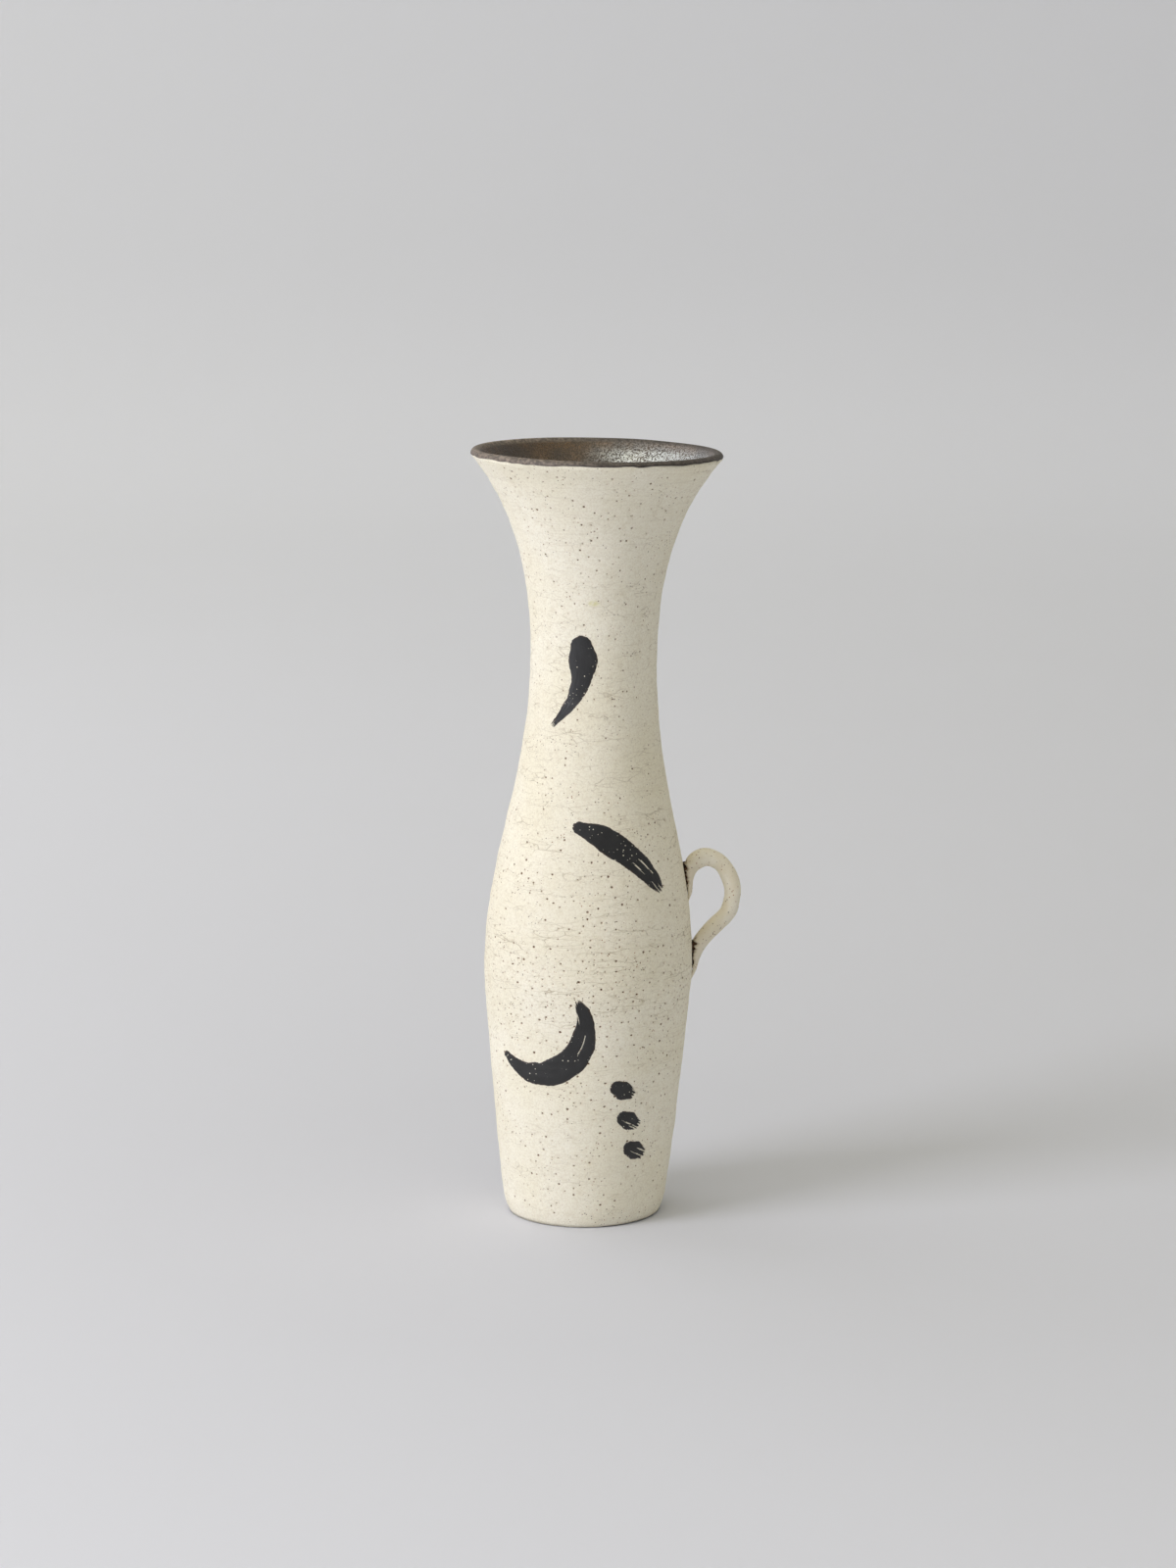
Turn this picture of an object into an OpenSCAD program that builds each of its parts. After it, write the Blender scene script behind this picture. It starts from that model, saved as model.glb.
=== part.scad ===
// A wheel-thrown bud vase with a flared mouth and a small pulled loop handle.
// Dark clay carries a cream slip outside, a dark glaze inside and over the lip, and black brush marks.
// Millimetres. The origin is the middle of the flat foot, +Z is up, and the handle is on the +X side.
// An azimuth is an angle round the vase from its front, which faces -Y, towards the handle.

/* [Body] */
// Height of the lip's crest, measured along the vase's own axis
height = 250; // [240:1:270]
// Diameter of the foot
foot_d = 48.4; // [44:0.2:52]
// Taper of the foot's edge, as radius gained per millimetre of height
foot_slope = 0.67; // [0.4:0.01:1]
// Diameter where the rounded heel meets the side
heel_d = 52.8; // [51:0.2:56]
// Height of the heel
heel_z = 6; // [4:0.5:8]
// Taper of the side at the heel
heel_slope = 0.145; // [0.08:0.005:0.2]
// Diameter at the top of the side
side_d = 66.2; // [62:0.2:70]
// Taper of the side at its top
side_slope = 0.09; // [0.06:0.005:0.13]
// Diameter at the belly
belly_d = 67.7; // [66.5:0.1:72]
// Height of the belly
belly_z = 83; // [76:1:90]
// Rise from the top of the side to the belly
belly_turn = 13; // [10:1:18]
// Diameter half way up the shoulder
shoulder_d = 55.3; // [52:0.1:58]
// Rise of that point above the belly
shoulder_rise = 45; // [38:1:52]
// Taper of the shoulder there
shoulder_slope = -0.223; // [-0.25:0.001:-0.18]
// Diameter of the neck
neck_d = 40.6; // [36:0.2:46]
// Height of the neck's narrowest point
neck_z = 184; // [176:1:192]
// Diameter at the throat, where the mouth begins to flare
throat_d = 51.6; // [48:0.2:54]
// Drop of the throat below the lip
throat_drop = 28; // [24:1:32]
// Flare at the throat
throat_slope = 0.34; // [0.3:0.01:0.42]
// Outer diameter of the lip
rim_d = 80.7; // [76:0.1:88]
// Flare at the lip
lip_slope = 0.87; // [0.6:0.01:1]
// Lean of the thrown body from plumb, towards the handle, in degrees
lean = 1; // [0:0.1:2]

/* [Wall] */
// Thickness of the clay at the foot
clay_foot_t = 4.2; // [3.4:0.1:5]
// Thickness of the clay at the lip
clay_lip_t = 2.2; // [1.8:0.1:3]
// Thickness of the clay floor
floor_t = 7; // [5:0.5:10]
// Radius of the inside corner between wall and floor
corner_r = 8; // [5:0.5:11]
// Thickness of the cream slip
slip_t = 0.5; // [0.3:0.05:0.8]
// Thickness of the glaze
glaze_t = 0.35; // [0.2:0.05:0.6]
// Height of the foot that is wiped clean of slip
bare_foot_h = 0.9; // [0.7:0.1:2]
// Length that the glaze runs down outside the lip
glaze_lap = 0.3; // [0.2:0.1:3]

/* [Handle] */
// Height of the handle's outermost point
handle_z = 107; // [104:0.5:110]
// Reach of the coil's centre line from the wall there
handle_reach = 14.8; // [13:0.1:17]
// Rise of the crown's centre line above the outermost point
handle_rise = 11.3; // [10:0.1:13]
// Reach of the crown's centre line from the wall
crown_reach = 8.1; // [7:0.1:9]
// Drop of the lower root below the outermost point
handle_drop = 17; // [16:0.1:20]
// Thickness of the coil at the crown
coil_crown_t = 5.9; // [5:0.1:6.4]
// Thickness of the coil at the lower root
coil_root_t = 4.9; // [4.2:0.1:5.4]
// Drop of the upper tail's tip below the crown
upper_tail_drop = 13.5; // [12:0.5:15]
// Drop of the lower tail's tip below the lower root
lower_tail_drop = 11; // [9:0.5:13]
// Thickness of a tail at its tip
tail_t = 1.4; // [1:0.1:2]
// Thickness of the luting slip under the tails
lute_t = 0.25; // [0.15:0.05:0.4]
// Width of luting slip squeezed out round a tail
lute_lap = 0.3; // [0.1:0.1:0.8]

/* [Brush marks] */
// Thickness of the black slip
mark_t = 0.2; // [0.1:0.05:0.4]
// Clearance between the cream slip and a mark
mark_gap = 0.02; // [0.01:0.01:0.05]
// Azimuth of the ring
ring_azimuth = 224; // [214:1:232]
// Height of the ring's centre
ring_z = 60; // [50:1:70]
// Diameter of the ring, at the middle of its stroke
ring_d = 27; // [24:0.5:30]
// Width of the ring's stroke
ring_w = 7; // [5:0.2:8]
// Azimuth of the slanting stroke
slash_azimuth = 22; // [12:1:32]
// Height of the slanting stroke
slash_z = 122; // [112:1:132]
// Length of the slanting stroke
slash_len = 33; // [26:1:36]
// Width of the slanting stroke
slash_w = 8; // [6:0.2:9]
// Azimuth of the comma
comma_azimuth = -20; // [-30:1:-8]
// Height of the comma's middle
comma_z = 178; // [170:1:186]
// Length of the comma
comma_len = 30; // [24:1:34]
// Width of the comma's head
comma_w = 9; // [6:0.2:10]
// Azimuth of the row of dabs
dab_azimuth = 34; // [24:1:44]
// Height of the lowest dab
dab_z = 26; // [20:1:34]
// Spacing of the dabs
dab_pitch = 10.5; // [9:0.5:13]
// Width of a dab
dab_w = 6.2; // [4:0.2:7]
// Number of dabs
dab_count = 3; // [1:1:4]
// Azimuth of the wave
wave_azimuth = 146; // [140:1:150]
// Height of the wave's middle
wave_z = 60; // [50:1:64]
// Length of the wave
wave_len = 40; // [34:1:42]
// Swing of the wave above and below its middle
wave_swing = 3.2; // [2:0.1:3.5]
// Width of the wave's stroke
wave_w = 5; // [4:0.2:5.4]
// Azimuth of the crescent
crescent_azimuth = -22; // [-32:1:-12]
// Height of the crescent's middle
crescent_z = 62; // [54:1:70]
// Diameter of the crescent's arc
crescent_d = 34; // [28:0.5:38]
// Width of the crescent at its middle
crescent_w = 9; // [6:0.2:10]
// Azimuth of the pair of bars
bars_azimuth = 202; // [192:1:212]
// Height of the middle between the bars
bars_z = 138; // [130:1:146]
// Spacing of the bars
bars_pitch = 13; // [10:0.5:16]
// Length of a bar
bar_len = 24; // [18:1:28]
// Width of a bar
bar_w = 6.6; // [4:0.2:7.4]

/* [Hidden] */
$fn = 96;

clay_colour = [0.30, 0.22, 0.17];
slip_colour = [0.91, 0.88, 0.79];
glaze_colour = [0.24, 0.20, 0.16];
coil_colour = [0.86, 0.82, 0.70];
lute_colour = [0.22, 0.15, 0.10];
mark_colour = [0.09, 0.09, 0.09];

// Longest step up the wall
wall_step = 2.5;
// Steps round the lip and round the inside corner
arc_steps = 8;
// Steps from knot to knot along a brush stroke of few or many knots, and along the handle
stroke_steps = 6;
fine_stroke_steps = 3;
coil_steps = 5;
// Corners of the coil's section
coil_sides = 14;
// Halvings that settle where the inside corner begins
corner_halvings = 24;
// Heights closer than this are one height
same_height = 0.001;

// The outer skin ends where the half round of the lip begins, square to the skin there.
lip_round_r = (slip_t + clay_lip_t + glaze_t) / 2;
lip_tilt = atan(lip_slope);
lip_z = height - lip_round_r * (1 + sin(lip_tilt));
lip_r = rim_d / 2 - lip_round_r * (1 - cos(lip_tilt));
glaze_edge_z = lip_z - glaze_lap;
side_z = belly_z - belly_turn;
shoulder_z = belly_z + shoulder_rise;
throat_z = height - throat_drop;

// Stations of the outer skin, from the foot to the lip: height, radius, slope
stations = [
    [0, foot_d / 2, foot_slope],
    [heel_z, heel_d / 2, heel_slope],
    [side_z, side_d / 2, side_slope],
    [belly_z, belly_d / 2, 0],
    [shoulder_z, shoulder_d / 2, shoulder_slope],
    [neck_z, neck_d / 2, 0],
    [throat_z, throat_d / 2, throat_slope],
    [lip_z, lip_r, lip_slope]
];

function last(list) = list[len(list) - 1];
function mix(a, b, t) = a + (b - a) * t;
function unit(v) = v / norm(v);

// The station below a height
function span_of(z) =
    let (below = [for (i = [0 : len(stations) - 2]) if (stations[i][0] <= z) i])
    len(below) == 0 ? 0 : last(below);

// Radius of the outer skin at a height
function radius_at(z) =
    let (a = stations[span_of(z)], b = stations[span_of(z) + 1], rise = b[0] - a[0], t = (z - a[0]) / rise)
    (2 * t ^ 3 - 3 * t ^ 2 + 1) * a[1] + (t ^ 3 - 2 * t ^ 2 + t) * rise * a[2]
    + (3 * t ^ 2 - 2 * t ^ 3) * b[1] + (t ^ 3 - t ^ 2) * rise * b[2];

// Slope of the outer skin at a height
function slope_at(z) =
    let (a = stations[span_of(z)], b = stations[span_of(z) + 1], rise = b[0] - a[0], t = (z - a[0]) / rise)
    (6 * t ^ 2 - 6 * t) / rise * (a[1] - b[1])
    + (3 * t ^ 2 - 4 * t + 1) * a[2] + (3 * t ^ 2 - 2 * t) * b[2];

// The point that lies a depth below the outer skin, square to it
function skin(z, depth) =
    let (tilt = atan(slope_at(z)))
    [radius_at(z) - depth * cos(tilt), z + depth * sin(tilt)];

// Thickness of the clay and depth of its inner face at a height
function clay_t(z) = mix(clay_foot_t, clay_lip_t, z / lip_z);
function clay_depth(z) = slip_t + clay_t(z);

// The heights at which every layer of the wall has its corners, so that their faces meet
wall_breaks = [
    bare_foot_h, heel_z, side_z, belly_z, shoulder_z, neck_z, throat_z, glaze_edge_z, lip_z
];
function steps_of(i) = ceil((wall_breaks[i + 1] - wall_breaks[i]) / wall_step);
wall_heights = [
    for (i = [0 : len(wall_breaks) - 2], j = [0 : steps_of(i) - 1])
        mix(wall_breaks[i], wall_breaks[i + 1], j / steps_of(i)),
    lip_z
];
function heights(low, high) =
    [for (z = wall_heights) if (z > low - same_height && z < high + same_height) z];
function backwards(list) = [for (i = [len(list) - 1 : -1 : 0]) list[i]];
function skin_line(low, high, depth) = [for (z = heights(low, high)) skin(z, depth)];

// The half round over the lip, from outside to inside, between two depths
function lip_round(outer, inner) =
    let (a = skin(lip_z, outer), b = skin(lip_z, inner), middle = (a + b) / 2, across = (a - b) / 2)
    [for (i = [1 : arc_steps - 1])
        let (turn = 180 * i / arc_steps)
        middle + across * cos(turn) + [-across[1], across[0]] * sin(turn)];

// Centre of the inside corner's round, if the corner begins at a height on the wall
function corner_centre(z) = skin(z, clay_depth(z) + corner_r);
function corner_start(low, high, left) =
    let (middle = (low + high) / 2)
    left <= 0 ? middle
    : corner_centre(middle)[1] > floor_t + corner_r ? corner_start(low, middle, left - 1)
    : corner_start(middle, high, left - 1);
corner_z = corner_start(bare_foot_h, belly_z, corner_halvings);

// The round of the inside corner, from the wall down to the floor, with a layer's thickness on it
function corner_round(extra) =
    let (centre = corner_centre(corner_z), tilt = -atan(slope_at(corner_z)))
    [for (i = [0 : arc_steps])
        let (turn = mix(tilt, -90, i / arc_steps))
        centre + (corner_r - extra) * [cos(turn), sin(turn)]];

// The inner face of the clay, or of a layer on it, from the lip down to the middle of the floor
function inner_line(extra) = concat(
    backwards([for (z = wall_heights) if (z > corner_z) skin(z, clay_depth(z) + extra)]),
    corner_round(extra),
    [[0, floor_t + extra]]
);

// The clay runs a little below the table before the foot is cut level.
foot_spare = foot_d * sin(lean) + 1;

module leaning() { rotate([0, lean, 0]) children(); }

module turned(outline) { leaning() rotate_extrude() polygon(outline); }

module clay_body() {
    outer = concat([skin(0, slip_t)], skin_line(bare_foot_h, lip_z, slip_t));
    outline = concat(
        [[0, -foot_spare], [outer[0][0], -foot_spare]],
        outer,
        lip_round(slip_t, clay_depth(lip_z)),
        inner_line(0)
    );
    color(clay_colour) difference() {
        turned(outline);
        translate([-foot_d, -foot_d, -2 * foot_spare]) cube([2 * foot_d, 2 * foot_d, 2 * foot_spare]);
    }
}

// The slip is left open where the handle is luted to the clay.
module slip_coat() {
    outline = concat(
        skin_line(bare_foot_h, glaze_edge_z, 0),
        backwards(skin_line(bare_foot_h, glaze_edge_z, slip_t))
    );
    color(slip_colour) difference() {
        turned(outline);
        wall_prism(handle_azimuth, upper_lute_outline);
        wall_prism(handle_azimuth, lower_lute_outline);
    }
}

module glaze_lining() {
    depth = clay_depth(lip_z);
    outline = concat(
        skin_line(glaze_edge_z, lip_z, 0),
        lip_round(0, depth + glaze_t),
        inner_line(glaze_t),
        backwards(inner_line(0)),
        backwards(lip_round(slip_t, depth)),
        backwards(skin_line(glaze_edge_z, lip_z, slip_t))
    );
    color(glaze_colour) turned(outline);
}

// A point between the second and third of four knots
function between(k, t) =
    0.5 * (2 * k[1] + (k[2] - k[0]) * t + (2 * k[0] - 5 * k[1] + 4 * k[2] - k[3]) * t ^ 2
    + (3 * k[1] - k[0] - 3 * k[2] + k[3]) * t ^ 3);

// A smooth line through knots
function smooth(knots, steps) =
    let (end = len(knots) - 1)
    [for (i = [0 : end - 1], j = [0 : steps - 1])
        between([knots[max(i - 1, 0)], knots[i], knots[i + 1], knots[min(i + 2, end)]], j / steps),
    knots[end]];

// The direction of a line at one of its points, in the first two of its numbers
function heading(line, i) =
    let (a = line[max(i - 1, 0)], b = line[min(i + 1, len(line) - 1)])
    unit([b[0] - a[0], b[1] - a[1]]);

// The handle's centre line: stand-off from the wall, height, thickness of the coil
crown_z = handle_z + handle_rise;
root_z = handle_z - handle_drop;
coil_side_t = (coil_crown_t + coil_root_t) / 2;
tail_middle_t = (coil_root_t + tail_t) / 2;
coil_knots = [
    [tail_t / 4, crown_z - upper_tail_drop, tail_t],
    [tail_middle_t * 0.5, crown_z - upper_tail_drop * 0.45, tail_middle_t],
    [crown_reach * 0.48, crown_z - handle_rise * 0.16, coil_crown_t],
    [crown_reach, crown_z, coil_crown_t],
    [mix(crown_reach, handle_reach, 0.62), crown_z - handle_rise * 0.18, coil_side_t],
    [handle_reach * 0.98, handle_z + handle_rise * 0.42, coil_side_t],
    [handle_reach, handle_z, coil_side_t],
    [handle_reach * 0.86, handle_z - handle_drop * 0.38, coil_side_t],
    [handle_reach * 0.55, handle_z - handle_drop * 0.65, coil_side_t],
    [coil_root_t * 0.55, root_z, coil_root_t],
    [tail_middle_t * 0.3, root_z - lower_tail_drop * 0.5, tail_middle_t],
    [tail_t / 6, root_z - lower_tail_drop, tail_t]
];

// The same line as distance from the axis, height, thickness
coil_line = [
    for (p = smooth(coil_knots, coil_steps))
        [radius_at(p[1]) + p[0], p[1], p[2]]
];

// A corner of the coil's section, pressed back to the luting slip where it would enter the wall
function coil_corner(i, turn) =
    let (
        p = coil_line[i],
        along = heading(coil_line, i),
        out = p[2] / 2 * cos(turn),
        x = p[0] + along[1] * out,
        y = p[2] / 2 * sin(turn),
        z = p[1] - along[0] * out,
        least = radius_at(z) + lute_t,
        grow = max(1, least / norm([x, y]))
    )
    [x * grow, y * grow, z];

module loop_handle() {
    rings = len(coil_line);
    points = [
        for (i = [0 : rings - 1], j = [0 : coil_sides - 1]) coil_corner(i, 360 * j / coil_sides)
    ];
    sides = [
        for (i = [0 : rings - 2], j = [0 : coil_sides - 1])
            let (a = i * coil_sides + j, b = i * coil_sides + (j + 1) % coil_sides)
            each [[a, b, a + coil_sides], [b, b + coil_sides, a + coil_sides]]
    ];
    first_end = [for (j = [1 : coil_sides - 2]) [0, j + 1, j]];
    far = (rings - 1) * coil_sides;
    far_end = [for (j = [1 : coil_sides - 2]) [far, far + j, far + j + 1]];
    color(coil_colour) leaning() polyhedron(points, concat(first_end, sides, far_end));
}

// A prism from the axis out through the wall, with an outline drawn on a plane that faces an azimuth
module wall_prism(azimuth, outline) {
    leaning() rotate([90, 0, azimuth]) linear_extrude(rim_d) polygon(outline);
}

// A thin layer over the wall, from a depth below the slip's face out to a thickness above it
module wall_layer(azimuth, outline, thickness, depth) {
    low = min([for (p = outline) p[1]]);
    high = max([for (p = outline) p[1]]);
    margin = max(thickness, depth);
    under = [for (z = wall_heights) if (z < low - margin) z];
    over = [for (z = wall_heights) if (z > high + margin) z];
    band = concat(
        skin_line(last(under), over[0], depth),
        backwards(skin_line(last(under), over[0], -thickness))
    );
    intersection() {
        turned(band);
        wall_prism(azimuth, outline);
    }
}

// Outline of a brush stroke along a line of points and widths, with its ends drawn out by half a width
function stroke(line) =
    let (
        end = len(line) - 1,
        sides = [for (i = [0 : end])
            let (
                way = heading(line, i),
                middle = [line[i][0], line[i][1]],
                across = [-way[1], way[0]] * line[i][2] / 2
            )
            [middle + across, middle - across]],
        tip = [line[end][0], line[end][1]] + heading(line, end) * line[end][2] / 2,
        tail = [line[0][0], line[0][1]] - heading(line, 0) * line[0][2] / 2
    )
    concat([tail], [for (s = sides) s[0]], [tip], backwards([for (s = sides) s[1]]));

// Outline of the luting slip under a tail of the handle, from its tip to its root
function lute_outline(low, high) =
    let (line = [
        [0, low, tail_t + 2 * lute_lap],
        [0, (low + high) / 2, tail_middle_t + 2 * lute_lap],
        [0, high, coil_root_t + 2 * lute_lap]
    ])
    stroke(smooth(line, stroke_steps));
upper_lute_outline = lute_outline(crown_z - upper_tail_drop, crown_z - coil_crown_t * 0.6);
lower_lute_outline = lute_outline(root_z - lower_tail_drop, root_z - coil_root_t * 0.2);
handle_azimuth = 90;

// The luting slip stands on the clay, and the handle on the luting slip.
module lute(outline) {
    color(lute_colour) wall_layer(handle_azimuth, outline, lute_t, slip_t);
}

module upper_lute() { lute(upper_lute_outline); }

module lower_lute() { lute(lower_lute_outline); }

module mark(azimuth, outline) {
    color(mark_colour) wall_layer(azimuth, outline, mark_gap + mark_t, -mark_gap);
}

// An open ring, heaviest at its foot, that starts and ends at the upper right
ring_start = 70;
ring_sweep = 330;
ring_top_share = 0.55;
ring_knots = 14;
module ring_mark() {
    line = [
        for (i = [0 : ring_knots])
            let (
                turn = ring_start + ring_sweep * i / ring_knots,
                width = ring_w * mix(1, ring_top_share, (1 + sin(turn)) / 2)
            )
            [ring_d / 2 * cos(turn), ring_z + ring_d / 2 * sin(turn), width]
    ];
    mark(ring_azimuth, stroke(smooth(line, fine_stroke_steps)));
}

// A straight stroke that falls to the right and bows a little
slash_fall = -38;
module slash_mark() {
    along = [cos(slash_fall), sin(slash_fall)];
    across = [-along[1], along[0]];
    shape = [[-0.5, 0, 0.55], [-0.25, 0.05, 1], [0.1, 0.06, 0.9], [0.36, 0.03, 0.7], [0.5, 0, 0.35]];
    line = [
        for (s = shape)
            let (p = slash_len * (along * s[0] + across * s[1]))
            [p[0], slash_z + p[1], slash_w * s[2]]
    ];
    mark(slash_azimuth, stroke(smooth(line, stroke_steps)));
}

// A round head that runs down into a curved point
module comma_mark() {
    shape = [[0.1, 0.38, 0.8], [0.12, 0.22, 1], [0.1, 0.02, 0.72], [0, -0.24, 0.44], [-0.2, -0.48, 0.14]];
    line = [for (s = shape) [comma_len * s[0], comma_z + comma_len * s[1], comma_w * s[2]]];
    mark(comma_azimuth, stroke(smooth(line, stroke_steps)));
}

// A slanting row of dabs, each a touch of a loaded brush
dab_drag = 2.2;
dab_shift = -3;
module dab_marks() {
    for (i = [0 : dab_count - 1]) {
        middle = [dab_shift * i, dab_z + dab_pitch * i];
        line = [
            [middle[0] - dab_drag, middle[1] + dab_drag / 2, dab_w * 0.8],
            [middle[0], middle[1], dab_w],
            [middle[0] + dab_drag, middle[1] - dab_drag / 2, dab_w * 0.7]
        ];
        mark(dab_azimuth, stroke(smooth(line, stroke_steps)));
    }
}

// A level wave of two swings
wave_swings = 2;
wave_tip_share = 0.6;
wave_knots = 16;
module wave_mark() {
    line = [
        for (i = [0 : wave_knots])
            let (t = i / wave_knots)
            [
                wave_len * (t - 0.5),
                wave_z + wave_swing * sin(360 * wave_swings * t),
                wave_w * mix(wave_tip_share, 1, sin(180 * t))
            ]
    ];
    mark(wave_azimuth, stroke(smooth(line, fine_stroke_steps)));
}

// A crescent that opens to the upper left and narrows to both ends
crescent_half = 80;
crescent_turn = -52;
crescent_tip_share = 0.12;
crescent_knots = 10;
module crescent_mark() {
    line = [
        for (i = [0 : crescent_knots])
            let (
                turn = mix(-crescent_half, crescent_half, i / crescent_knots),
                place = crescent_d / 2 * [cos(turn + crescent_turn), sin(turn + crescent_turn)]
            )
            [
                place[0] - crescent_d / 4 * cos(crescent_turn),
                crescent_z + place[1] - crescent_d / 4 * sin(crescent_turn),
                crescent_w * mix(crescent_tip_share, 1, cos(turn))
            ]
    ];
    mark(crescent_azimuth, stroke(smooth(line, fine_stroke_steps)));
}

// Two short level bars
module bar_marks() {
    for (side = [-1, 1]) {
        shape = [[-0.5, 0.02, 0.7], [-0.2, 0.04, 1], [0.2, 0.03, 0.9], [0.5, -0.03, 0.5]];
        line = [
            for (s = shape)
                [side * bar_len * s[0], bars_z + side * bars_pitch / 2 + bar_len * s[1], bar_w * s[2]]
        ];
        mark(bars_azimuth, stroke(smooth(line, stroke_steps)));
    }
}

clay_body();
slip_coat();
glaze_lining();
loop_handle();
upper_lute();
lower_lute();
ring_mark();
slash_mark();
comma_mark();
dab_marks();
wave_mark();
crescent_mark();
bar_marks();
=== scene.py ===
"""The looks of a wheel-thrown bud vase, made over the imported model. Lengths are millimetres until a mesh
is made, but metres for the stage and the lamps."""

from math import cos, exp, pi, radians, sin, sqrt, tan

import bmesh
import bpy
import numpy as np
from mathutils import Matrix, Vector


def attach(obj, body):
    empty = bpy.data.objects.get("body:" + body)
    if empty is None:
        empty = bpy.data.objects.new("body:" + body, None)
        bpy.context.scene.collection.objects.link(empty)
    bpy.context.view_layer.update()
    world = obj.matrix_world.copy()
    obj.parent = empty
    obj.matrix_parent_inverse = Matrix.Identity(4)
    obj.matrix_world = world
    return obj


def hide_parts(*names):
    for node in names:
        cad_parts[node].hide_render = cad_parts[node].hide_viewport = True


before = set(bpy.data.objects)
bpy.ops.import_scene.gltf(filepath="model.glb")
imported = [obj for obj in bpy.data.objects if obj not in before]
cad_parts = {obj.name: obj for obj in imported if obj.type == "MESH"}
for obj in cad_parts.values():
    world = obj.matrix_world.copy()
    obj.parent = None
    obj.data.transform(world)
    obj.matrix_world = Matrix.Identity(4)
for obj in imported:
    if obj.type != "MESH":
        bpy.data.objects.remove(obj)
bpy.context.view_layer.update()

MM = 0.001
LEAN = radians(1)
FULL_TURN = 2 * pi
WELD = 1e-7


# Lines and fields


def turned_by(points):
    """How sharply a line turns at each inner point, in radians."""
    ways = np.diff(points, axis=0)
    angles = np.unwrap(np.arctan2(ways[:, 1], ways[:, 0]))
    return np.abs(np.diff(angles))


def section(node):
    """A node's cut face away from the handle, as a chain of radius and height."""
    cut = bmesh.new()
    cut.from_mesh(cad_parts[node].data)
    bmesh.ops.remove_doubles(cut, verts=cut.verts, dist=WELD)
    upright = Matrix.Scale(1 / MM, 4) @ Matrix.Rotation(-LEAN, 4, "Y")
    bmesh.ops.transform(cut, matrix=upright, verts=cut.verts)
    whole = cut.verts[:] + cut.edges[:] + cut.faces[:]
    near = 1e-3
    found = bmesh.ops.bisect_plane(cut, geom=whole, dist=near, plane_co=(0, 0, 0), plane_no=(0, 1, 0))
    links = {}
    for edge in found["geom_cut"]:
        if isinstance(edge, bmesh.types.BMEdge) and max(v.co.x for v in edge.verts) < near:
            for a, b in (edge.verts, reversed(edge.verts)):
                links.setdefault(a, []).append(b)
    ends = [v for v in links if len(links[v]) == 1]
    chain = [min(ends or links, key=lambda v: v.co.z)]
    here = max(links[chain[0]], key=lambda v: -v.co.x)
    while here is not None and here is not chain[0]:
        chain.append(here)
        ahead = [v for v in links[here] if v is not chain[-2]]
        here = ahead[0] if ahead else None
    points = np.array([(-v.co.x, v.co.z) for v in chain])
    cut.free()
    straight = 2e-4
    bends = np.concatenate([[True], turned_by(points) > straight, [True]])
    return points[bends]


CORNER = radians(45)


def until_corner(points):
    """The part of a chain up to its first sharp corner."""
    corners = np.flatnonzero(turned_by(points) > CORNER)
    return points[: corners[0] + 2] if len(corners) else points


def cubic(known, values, wanted):
    """Values on a smooth curve through known points; the ends run on straight."""
    slopes = np.gradient(values, known, axis=0)
    i = np.clip(np.searchsorted(known, wanted) - 1, 0, len(known) - 2)
    rise = known[i + 1] - known[i]
    raw = (wanted - known[i]) / rise
    t = np.clip(raw, 0, 1)
    if values.ndim > 1:
        rise, raw, t = rise[..., None], raw[..., None], t[..., None]
    inside = (
        (2 * t**3 - 3 * t**2 + 1) * values[i]
        + (t**3 - 2 * t**2 + t) * rise * slopes[i]
        + (3 * t**2 - 2 * t**3) * values[i + 1]
        + (t**3 - t**2) * rise * slopes[i + 1]
    )
    return inside + (raw - t) * rise * np.where(raw > t, slopes[i + 1], slopes[i])


def lengths_along(points):
    """Distance from a line's start to each of its points."""
    return np.concatenate([[0], np.cumsum(np.linalg.norm(np.diff(points, axis=0), axis=1))])


def soft_step(low, high, x):
    """A smooth rise from 0 at low to 1 at high."""
    t = np.clip((x - low) / (high - low), 0, 1)
    return t * t * (3 - 2 * t)


def mix(a, b, share):
    return a + (b - a) * share


def wave_field(seed, short, long, most_around, count=28):
    """A smooth random field of unit size: wavelengths in height, whole waves round the vase."""
    rng = np.random.default_rng(seed)
    around = rng.integers(0, most_around + 1, count)
    up = FULL_TURN / rng.uniform(short, long, count) * rng.choice([-1, 1], count)
    phase = rng.uniform(0, FULL_TURN, count)

    def field(azimuth, z):
        total = sum(np.cos(m * azimuth + k * z + p) for m, k, p in zip(around, up, phase))
        return total / sqrt(count / 2)

    return field


def noise_line(rng, size, count):
    """A smooth random line of unit size: count values, with features of size values."""
    knots = rng.normal(size=max(4, int(count / size) + 4))
    return cubic(np.arange(len(knots)) * size, knots, np.arange(count) + size)


def turns(count):
    """Angles that share out a full turn."""
    return np.arange(count) * FULL_TURN / count


JOIN_COLUMNS = 6


def join_fade(count):
    """Fades a random line round the vase out where its ends meet."""
    j = np.arange(count)
    return soft_step(0, JOIN_COLUMNS, np.minimum(j, count - j))


# The wall


BAND_H = 1.6
BAND_TUCK = 0.35
COAT_FOOT = 0.22


def glaze_face():
    """The glaze's face as a chain, from its edge outside the lip to the floor."""
    chain = section("glaze_lining")
    outermost = int(np.argmax(chain[:, 0]))
    lap = until_corner(chain[outermost::-1])[::-1]
    return np.concatenate([lap[:-1], chain[outermost:]])


glaze_chain = glaze_face()
CREST_Z = glaze_chain[:, 1].max()


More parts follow.
